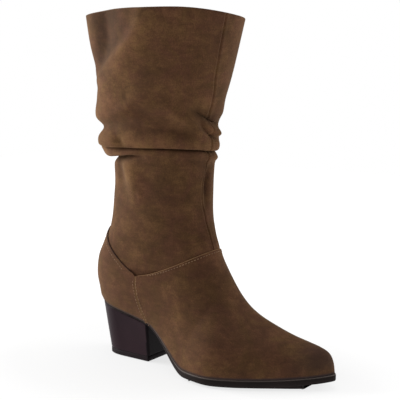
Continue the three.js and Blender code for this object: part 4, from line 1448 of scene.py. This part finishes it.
@dataclass
class Bottom:
    """Outsole, insole, heel block and top piece."""

    last: Last
    sole: object
    sock: object
    heel: object
    top_piece: object
    steps: int = 150
    edge_overhang: float = 1.0
    edge_bevel: float = 1.2
    lap: float = 1.1
    tread_inset: float = 2.5
    tread_from: float = 0.52
    tread_to: float = 0.925
    tread_slope: float = 0.5
    insole_thickness: float = 2.5
    insole_inset: float = 1.3
    insole_bevel: float = 0.6
    insole_lift: float = 0.4
    top_piece_thickness: float = 5.0
    heel_squareness: float = 0.72
    heel_points: int = 130
    breast_points: int = 24
    # Share of the sole's painted highlight along the heel's seat.
    pale_seat: float = 0.25

    def places(self, from_x: float, to_x: float) -> np.ndarray:
        """Places along the foot, closer together towards both ends."""
        return from_x + (to_x - from_x) * (1 - np.cos(np.linspace(0, np.pi, self.steps))) / 2

    def past_waist(self, x: np.ndarray) -> np.ndarray:
        """How far x has come from the heel's breast, 0, to the ball, 1."""
        return smoothstep(x, self.last.breast_x, self.last.ball_start_x)

    def depth(self, x: np.ndarray) -> np.ndarray:
        """Thickness of the sole at x."""
        thin, full = self.last.waist_thickness, self.last.sole_thickness
        return thin + (full - thin) * self.past_waist(x)

    def outline(self, x: np.ndarray, reach: np.ndarray, side: Side) -> np.ndarray:
        """One side of the footprint pushed out square to itself.

        Args:
            x: Places along the boot.
            reach: How far out.
            side: Which side.

        Returns:
            X and Y of each place.
        """
        low, high = self.last.edges(x)
        y = high if side is Side.IN else low
        mirrored = low if side is Side.IN else high
        run = np.concatenate([[2 * x[0] - x[1]], x, [2 * x[-1] - x[-2]]])
        run[0], run[-1] = x[1], x[-2]
        rise = np.concatenate([[mirrored[1]], y, [mirrored[-2]]])
        dx, dy = run[2:] - run[:-2], rise[2:] - rise[:-2]
        dx[0] = dx[-1] = 0.0
        dy[0], dy[-1] = y[1] - mirrored[1], mirrored[-2] - y[-2]
        size = np.maximum(np.hypot(dx, dy), 1e-9)
        sign = 1 if side is Side.IN else -1
        return np.stack([x - sign * reach * dy / size, y + sign * reach * dx / size], axis=-1)

    def slab(self, name: str, profile: Callable, material: object, from_x: float, to_x: float,
             across: int = 20, pale: float = 0.0) -> object:
        """A slab over the sole's outline whose edge follows a profile.

        Args:
            name: The piece's name.
            profile: Function of x for its edge from the top down: pairs of reach and height.
            material: Its finish.
            from_x: Back end.
            to_x: Front end.
            across: Points across top and bottom.
            pale: How far the upper corner of the edge is painted pale, a painted highlight along
                the bevel.

        Returns:
            The piece.
        """
        x = self.places(from_x, to_x)
        rings = profile(x)
        outer, inner = ([np.column_stack([self.outline(x, reach, side), height])
                         for reach, height in rings] for side in (Side.OUT, Side.IN))
        u = np.linspace(0, 1, across + 2)[1:-1]
        top = [(1 - k) * inner[0] + k * outer[0] for k in u]
        bottom = [(1 - k) * outer[-1] + k * inner[-1] for k in u]
        loop = np.stack(top + outer + bottom + inner[::-1])
        for part in (loop[:across], loop[across + len(rings):2 * across + len(rings)]):
            part[..., 2] = part[:1, :, 2]
        quads = Mesher.quads(len(loop), len(x), loop_rows=True)
        return Mesher.piece(name, loop, quads, material,
                            {"edge": pale * self.highlight_corner(loop, across)})

    def highlight_corner(self, loop: np.ndarray, across: int) -> np.ndarray:
        """How far a slab's upper corner takes a pale painted highlight: fully ahead of the heel's
        breast.

        Args:
            loop: The slab's rows of points around its section.
            across: Points across its top.

        Returns:
            The share at each point.
        """
        share = np.zeros(loop.shape[:2])
        share[[across + 1, -2]] = 1.0
        ahead = smoothstep(loop[..., 0], self.last.breast_x - 8, self.last.breast_x + 12)
        return share * (self.pale_seat + (1 - self.pale_seat) * ahead)

    def outsole_edge(self, x: np.ndarray) -> list:
        """The long sole's edge, bevelled above and below, which widens past the waist."""
        bed, depth, past = self.last.bed(x), self.depth(x), self.past_waist(x)
        reach = self.lap + self.edge_overhang * past
        bevel = self.edge_bevel * (0.4 + 0.6 * past)
        under = bed - depth
        return [(reach - bevel, bed), (reach - 0.25 * bevel, bed - 0.2 * bevel),
                (reach, bed - bevel), (reach, bed - depth / 2), (reach, under + 0.7 * bevel),
                (reach - 0.3 * bevel, under + 0.2 * bevel), (reach - bevel, under)]

    def tread_edge(self, x: np.ndarray) -> list:
        """The tread's edge: upright, with a small slope where it meets the floor."""
        reach, floor = np.full_like(x, -self.tread_inset), np.zeros_like(x)
        return [(reach, self.last.bed(x) - self.depth(x) / 2), (reach, floor + self.tread_slope),
                (reach - self.tread_slope, floor)]

    def insole_edge(self, x: np.ndarray) -> list:
        """The insole's edge, a little rounded above."""
        bed, reach = self.last.bed(x), np.full_like(x, -self.insole_inset)
        return [(reach - self.insole_bevel, bed + 0.3 + self.insole_thickness),
                (reach, bed + self.insole_thickness - 0.3), (reach, bed + self.insole_lift)]

    def make_outsole(self) -> object:
        """The long sole, from the heel's back to the toe."""
        return self.slab("outsole", self.outsole_edge, self.sole, self.last.heel_back_x,
                         self.last.toe_x, pale=1.0)

    def make_tread(self) -> object:
        """The tread under ball and toe, a step below the sole, flat on the floor."""
        ends = [self.last.heel_back_x + share * self.last.foot_length
                for share in (self.tread_from, self.tread_to)]
        return self.slab("tread", self.tread_edge, self.sole, *ends)

    def make_insole(self) -> object:
        """The insole with its sock, inside the upper's wall."""
        return self.slab("insole_sock", self.insole_edge, self.sock, self.last.heel_back_x + 2,
                         self.last.toe_x - 3)

    def heel_loop(self, share: np.ndarray) -> np.ndarray:
        """D-shaped outlines of the heel: share 0 is the base and share 1 the sole's seat.

        The base's round back is a superellipse, and the seat's follows the footprint. Both
        sides then run straight on to the breast.

        Args:
            share: A column of shares, one for each outline.

        Returns:
            X and Y of each outline, from the breast along the outer side and round the back.
        """
        last, squareness = self.last, self.heel_squareness
        angle = np.linspace(-np.pi / 2, np.pi / 2, self.heel_points)
        base_back, base_half = -last.heel_base_length / 2, last.heel_base_width / 2
        base = np.stack([
            base_back + last.heel_round * (1 - np.cos(angle) ** squareness),
            base_half * signed_power(np.sin(angle), squareness)], axis=-1)
        seat_x = last.heel_back_x + last.heel_round * (1 - np.cos(angle))
        low, high = last.edges(seat_x)
        centre = (low + high) / 2
        reach = np.where(angle < 0, low - centre, high - centre)
        seat = np.stack([seat_x - self.lap * np.cos(angle),
                         centre + reach + self.lap * np.sin(angle)], axis=-1)
        front_low, front_high = last.edges(np.array([last.breast_x]))
        front = np.linspace(0, 1, self.breast_points)[:, None]
        base_sides = [np.array([[-base_back, -base_half]]), np.array([[-base_back, base_half]])]
        seat_sides = [np.array([[last.breast_x, front_low[0] - self.lap]]),
                      np.array([[last.breast_x, front_high[0] + self.lap]])]
        loops = []
        for sides, back in ((base_sides, base), (seat_sides, seat)):
            loops.append(np.concatenate([
                sides[0] + front[:-1] * (back[:1] - sides[0]), back,
                back[-1:] + front[1:] * (sides[1] - back[-1:])]))
        return loops[0] + share[:, None, None] * (loops[1] - loops[0])

    def block(self, name: str, levels: np.ndarray, shares: np.ndarray, insets: np.ndarray,
              height: Callable, material: object) -> object:
        """A block over D-shaped outlines at rising levels, closed below, above and in front.

        Args:
            name: The piece's name.
            levels: Share of the block's height at each outline.
            shares: Place of each outline between the heel's base and its seat.
            insets: How far each outline is drawn in.
            height: Function of x and level for the height.
            material: Its finish, whose tone of painted light goes on the breast as painted shade.

        Returns:
            The piece.
        """
        loops = self.heel_loop(shares)
        way = loops - loops.mean(axis=1, keepdims=True)
        size = np.linalg.norm(way, axis=-1, keepdims=True)
        loops = loops - way / size * insets[:, None, None]
        z = height(loops[..., 0], np.broadcast_to(levels[:, None], loops.shape[:2]))
        side = np.concatenate([loops, z[..., None]], axis=-1)[:, ::-1]
        across = np.linspace(0, 1, 16)[1:-1]
        front = np.stack([(1 - k) * side[:, -1] + k * side[:, 0] for k in across], axis=1)
        ring = np.concatenate([side, front], axis=1)
        caps = []
        for loop, order in ((ring[0], (0.0, 0.5)), (ring[-1], (0.5, 0.0))):
            centre = loop.mean(axis=0)
            caps.append(np.stack([centre + k * (loop - centre) for k in order]))
        points = np.concatenate([caps[0], ring, caps[1]])
        # The breast takes the material's dark tone through the edge attribute: painted shade.
        breast = points[..., 0] > points[..., 0].max(axis=1, keepdims=True) - 1.5
        quads = Mesher.quads(len(points), points.shape[1], loop_columns=True)
        return Mesher.piece(name, points, quads, material, {"edge": breast * 1.0})

    def heel_height(self, x: np.ndarray, level: np.ndarray) -> np.ndarray:
        """Height in the heel block, which ends just under the sole's seat."""
        low = self.top_piece_thickness + 0.15
        top = self.last.bed(x) - self.depth(x) - 0.05
        return low + level * (top - low)

    def top_piece_height(self, x: np.ndarray, level: np.ndarray) -> np.ndarray:
        """Height in the top piece, which is level."""
        return self.top_piece_thickness * level + 0 * x

    def make_heel(self) -> object:
        """The heel block, from the top piece to the underside of the sole's seat."""
        level = np.concatenate([[0, 0.006], np.linspace(0.02, 0.98, 26), [0.994, 1]])
        inset = np.concatenate([[0.5, 0.12], np.zeros(26), [0.1, 0.4]])
        return self.block("heel_block", level, level, inset, self.heel_height, self.heel)

    def make_top_piece(self) -> object:
        """The rubber top piece that the heel walks on."""
        level = np.array([0, 0.08, 0.5, 0.92, 1.0])
        inset = np.array([0.6, 0.1, 0, 0.1, 0.5])
        return self.block("heel_top_piece", level, 0 * level, inset, self.top_piece_height,
                          self.top_piece)

    def build(self) -> list:
        """Builds the four pieces and the tread, and returns them."""
        pieces = [(self.make_outsole(), Slot.SOLE, "outsole"),
                  (self.make_tread(), Slot.SOLE, "outsole"),
                  (self.make_insole(), Slot.SOCK, "insole"), (self.make_heel(), Slot.HEEL, "heel"),
                  (self.make_top_piece(), Slot.TOP_PIECE, "top_piece")]
        for thing, slot, node in pieces:
            Mesher.settle(thing, slot, node)
        return [thing for thing, _, _ in pieces]


@dataclass
class Stitching:
    """Rows of thread along the seams, each stitch a short rounded bar half sunk in the suede."""

    upper: Upper
    thread: object
    pitch: float = 2.9
    length: float = 2.2
    radius: float = 0.33
    inset: float = 2.0
    beside_seam: float = 1.7
    rings: int = 5
    sides: int = 6

    def bars(self, name: str, paths: list) -> object:
        """Lays stitches along paths.

        A stitch is a bar of round rings along its path, whose radius shrinks to its ends with
        the fourth power of the way from its middle, and which dips there into the suede.

        Args:
            name: The piece's name.
            paths: Pairs of arrays: points along a path and the outward normals there.

        Returns:
            The piece, on all paths.
        """
        points, quads, start = [], [], 0
        for line, normals in paths:
            way = np.concatenate([[0], np.cumsum(np.linalg.norm(np.diff(line, axis=0), axis=-1))])
            middles = np.arange(self.pitch, way[-1] - self.pitch / 2, self.pitch)
            centre = np.stack([np.interp(middles, way, line[:, k]) for k in range(3)], axis=-1)
            ahead = np.stack([np.interp(middles + 0.5, way, line[:, k])
                              - np.interp(middles - 0.5, way, line[:, k])
                              for k in range(3)], axis=-1)
            up = np.stack([np.interp(middles, way, normals[:, k]) for k in range(3)], axis=-1)
            ahead /= np.linalg.norm(ahead, axis=-1, keepdims=True)
            up /= np.linalg.norm(up, axis=-1, keepdims=True)
            beside = np.cross(up, ahead)
            u = np.linspace(-1, 1, self.rings)[None, :, None, None]
            turn = np.linspace(0, 2 * np.pi, self.sides + 1)[:-1][None, None, :, None]
            girth = self.radius * np.sqrt(np.maximum(1.02 - u ** 4, 0.02))
            arch = 0.25 * self.radius - 1.6 * self.radius * u ** 4
            bar = (centre[:, None, None] + ahead[:, None, None] * u * self.length / 2
                   + beside[:, None, None] * girth * np.cos(turn)
                   + up[:, None, None] * (girth * np.sin(turn) + arch))
            per = self.rings * self.sides
            side = Mesher.quads(self.rings, self.sides, loop_columns=True)[:, ::-1]
            offset = start + per * np.arange(len(centre))[:, None, None]
            quads.append((side[None] + offset).reshape(-1, 4))
            ends = []
            for ring, flip in ((0, False), (self.rings - 1, True)):
                base = ring * self.sides
                pair = [[base, base + 1, base + 2, base + 3], [base, base + 3, base + 4, base + 5]]
                ends += [p[::-1] if flip else p for p in pair]
            quads.append((np.array(ends)[None] + offset).reshape(-1, 4))
            points.append(bar.reshape(-1, 3))
            start += bar.reshape(-1, 3).shape[0]
        return Mesher.piece(name, np.concatenate(points)[:, None], np.concatenate(quads),
                            self.thread, {"edge": 0.0})

    def path(self, s: np.ndarray, t: np.ndarray, offset: float) -> tuple:
        """Points and normals on the panels' outer face at places (t, s)."""
        push = self.upper.push(t, s)
        return (self.upper.place(t, s, np.full_like(t, offset), push),
                self.upper.last.normal(t, s))

    def build(self) -> list:
        """Builds the rows beside the lap line and both side seams, and returns them."""
        upper, last = self.upper, self.upper.last
        top, proud = upper.lap, upper.lap + upper.counter_proud
        s = np.linspace(0.015 - upper.junctions[-1], upper.junctions[1] - 0.015, 300)
        edge = upper.t_lap(s)
        vamp = [self.path(s, edge - self.inset / last.travel(edge, s), top)]
        counter, seams = [], []
        for sign in (1, -1):
            (t0, s0), (t1, s1) = upper.counter_ways(np.linspace(0.1, 1, 150), sign)
            length = np.linalg.norm(last.point(t1, s1) - last.point(t0, s0), axis=-1)
            back = self.inset / np.maximum(length, 1)
            counter.append(self.path(s1 - back * (s1 - s0), t1 - back * (t1 - t0), proud))
            s = sign * np.linspace(upper.junctions[sign] + 0.02, 1, 150)
            seam = upper.t_seam(s)
            for gap in (-self.beside_seam, self.beside_seam):
                seams.append(self.path(s, seam + gap / last.travel(seam, s),
                                       proud if gap > 0 else top))
        pieces = [self.bars("vamp_stitching", vamp), self.bars("counter_stitching", counter),
                  self.bars("side_seam_stitching", seams)]
        for thing in pieces:
            Mesher.settle(thing, Slot.SUEDE, "upper")
        return pieces


@dataclass
class Studio:
    """Pale floor, soft lights and the camera. Places and sizes here are metres."""

    camera_place: tuple = (0.56526, -0.70435, 0.28204)
    camera_turn: float = 35.085
    camera_tilt: float = 8.32875
    camera_roll: float = 0.25
    focal_px: float = 948.307
    frame_px: float = 400.0
    sensor_mm: float = 36.0
    clipping: tuple = (0.01, 50.0)
    floor_size: float = 3.0
    floor_drop: float = 0.0004
    floor_grey: str = "#8a8a8a"
    floor_glow: tuple = (0.74, 1.0)
    glow_reach: tuple = (0.12, 0.5)
    surround: float = 0.16
    aim: tuple = (0.05, 0.0, 0.15)
    lights: tuple = (("left", (-1.3, -0.5, 0.7), 0.9, 27.0),
                     ("right", (0.95, 0.85, 0.7), 0.8, 6.0),
                     ("top", (0.0, 0.2, 1.7), 1.2, 7.5),
                     ("front", (0.6, -1.6, 1.0), 1.0, 3.0))

    def set_camera(self) -> None:
        """Creates the camera. Its turn is about +Z from looking along +Y, its tilt downwards."""
        data = bpy.data.cameras.new("camera")
        data.sensor_fit, data.sensor_width = "HORIZONTAL", self.sensor_mm
        data.lens = self.focal_px / self.frame_px * self.sensor_mm
        data.clip_start, data.clip_end = self.clipping
        camera = bpy.data.objects.new("camera", data)
        bpy.context.scene.collection.objects.link(camera)
        camera.location = self.camera_place
        turns = ((self.camera_turn, "Z"), (90 - self.camera_tilt, "X"), (self.camera_roll, "Z"))
        turned = Matrix.Identity(3)
        for degrees, axis in turns:
            turned = turned @ Matrix.Rotation(math.radians(degrees), 3, axis)
        camera.rotation_euler = turned.to_euler()
        bpy.context.scene.camera = camera

    def lay_floor(self) -> None:
        """Lays the floor, a sheet of pale paper that glows of itself, more the further it is away.
        """
        half = self.floor_size / 2
        mesh = bpy.data.meshes.new("floor")
        mesh.from_pydata([(-half, -half, 0), (half, -half, 0), (half, half, 0), (-half, half, 0)],
                         [], [(0, 1, 2, 3)])
        material, tree, shader, place = fresh_material("white paper")
        shader.inputs["Base Color"].default_value = linear(self.floor_grey)
        shader.inputs["Roughness"].default_value = 0.9
        shader.inputs["Specular IOR Level"].default_value = 0.1
        shader.inputs["Emission Color"].default_value = linear("#ffffff")
        away = add_node(tree, "ShaderNodeVectorMath", {"operation": "LENGTH"}, {0: place})
        glow = add_node(tree, "ShaderNodeMapRange", inputs={
            "Value": away.outputs["Value"], "From Min": self.glow_reach[0],
            "From Max": self.glow_reach[1], "To Min": self.floor_glow[0],
            "To Max": self.floor_glow[1]})
        tree.links.new(glow.outputs[0], shader.inputs["Emission Strength"])
        mesh.materials.append(material)
        floor = bpy.data.objects.new("floor", mesh)
        bpy.context.scene.collection.objects.link(floor)
        floor.location.z = -self.floor_drop

    def hang_light(self, name: str, place: tuple, size: float, watts: float) -> None:
        """Hangs a square soft light that looks at the boot.

        Args:
            name: The light's name.
            place: Where it hangs.
            size: Length of its side.
            watts: Its power.
        """
        data = bpy.data.lights.new(name, "AREA")
        data.shape, data.size, data.energy = "SQUARE", size, watts
        light = bpy.data.objects.new(name, data)
        bpy.context.scene.collection.objects.link(light)
        light.location = place
        way = Vector(self.aim) - Vector(place)
        light.rotation_euler = way.to_track_quat("-Z", "Y").to_euler()

    def build(self) -> None:
        """Sets camera, floor, white surroundings and lights."""
        self.set_camera()
        self.lay_floor()
        world = bpy.data.worlds.new("studio")
        world.use_nodes = True
        tree = world.node_tree
        glow = tree.nodes["Background"]
        glow.inputs["Color"].default_value = (1, 1, 1, 1)
        seen = add_node(tree, "ShaderNodeLightPath")
        strength = add_node(tree, "ShaderNodeMapRange", inputs={
            "Value": seen.outputs["Is Camera Ray"], "To Min": self.surround, "To Max": 1.0})
        tree.links.new(strength.outputs[0], glow.inputs["Strength"])
        bpy.context.scene.world = world
        bpy.context.scene.view_settings.view_transform = "Standard"
        for name, place, size, watts in self.lights:
            self.hang_light(name, place, size, watts)


def main() -> None:
    """Builds the boot piece by piece, then the studio, and reports them."""
    logging.basicConfig(level=logging.INFO, format="%(name)s %(message)s")
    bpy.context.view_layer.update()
    last = Last()
    upper = Upper(last, Slouch())
    suede = Suede().build()
    lining = Plain("microfibre lining", "#4a3a2b", "#6a563f", 0.8, roughness=0.9,
                   specular=0.2).build()
    # The sole's default pale tone is a painted highlight along its bevel.
    sole = Plain("moulded rubber", "#17100e", "#221917", 0.7, roughness=0.6,
                 specular=0.12).build()
    sock = Plain("sock fabric", "#6b5641", "#8d745a", 0.9, roughness=0.9, specular=0.2).build()
    # The heel's and top piece's dark tone is painted shade on their breasts.
    heel = Plain("wrapped heel", "#23171c", "#2f2025", 1.4, cloud_mm=60, roughness=0.4,
                 depth_mm=0.03, specular=0.06, painted_light="#130c0f").build()
    top_piece = Plain("top piece rubber", "#1a1215", "#241a1d", 0.8, roughness=0.6,
                      specular=0.1, painted_light="#130c0f").build()
    thread = Plain("waxed thread", "#6d5037", "#93714f", 0.5, cloud_mm=6, roughness=0.6).build()
    Shaft(upper, suede).build()
    Panels(upper, suede, lining).build()
    Bottom(last, sole, sock, heel, top_piece).build()
    Stitching(upper, thread).build()
    Studio().build()


if __name__ == "__main__":
    main()
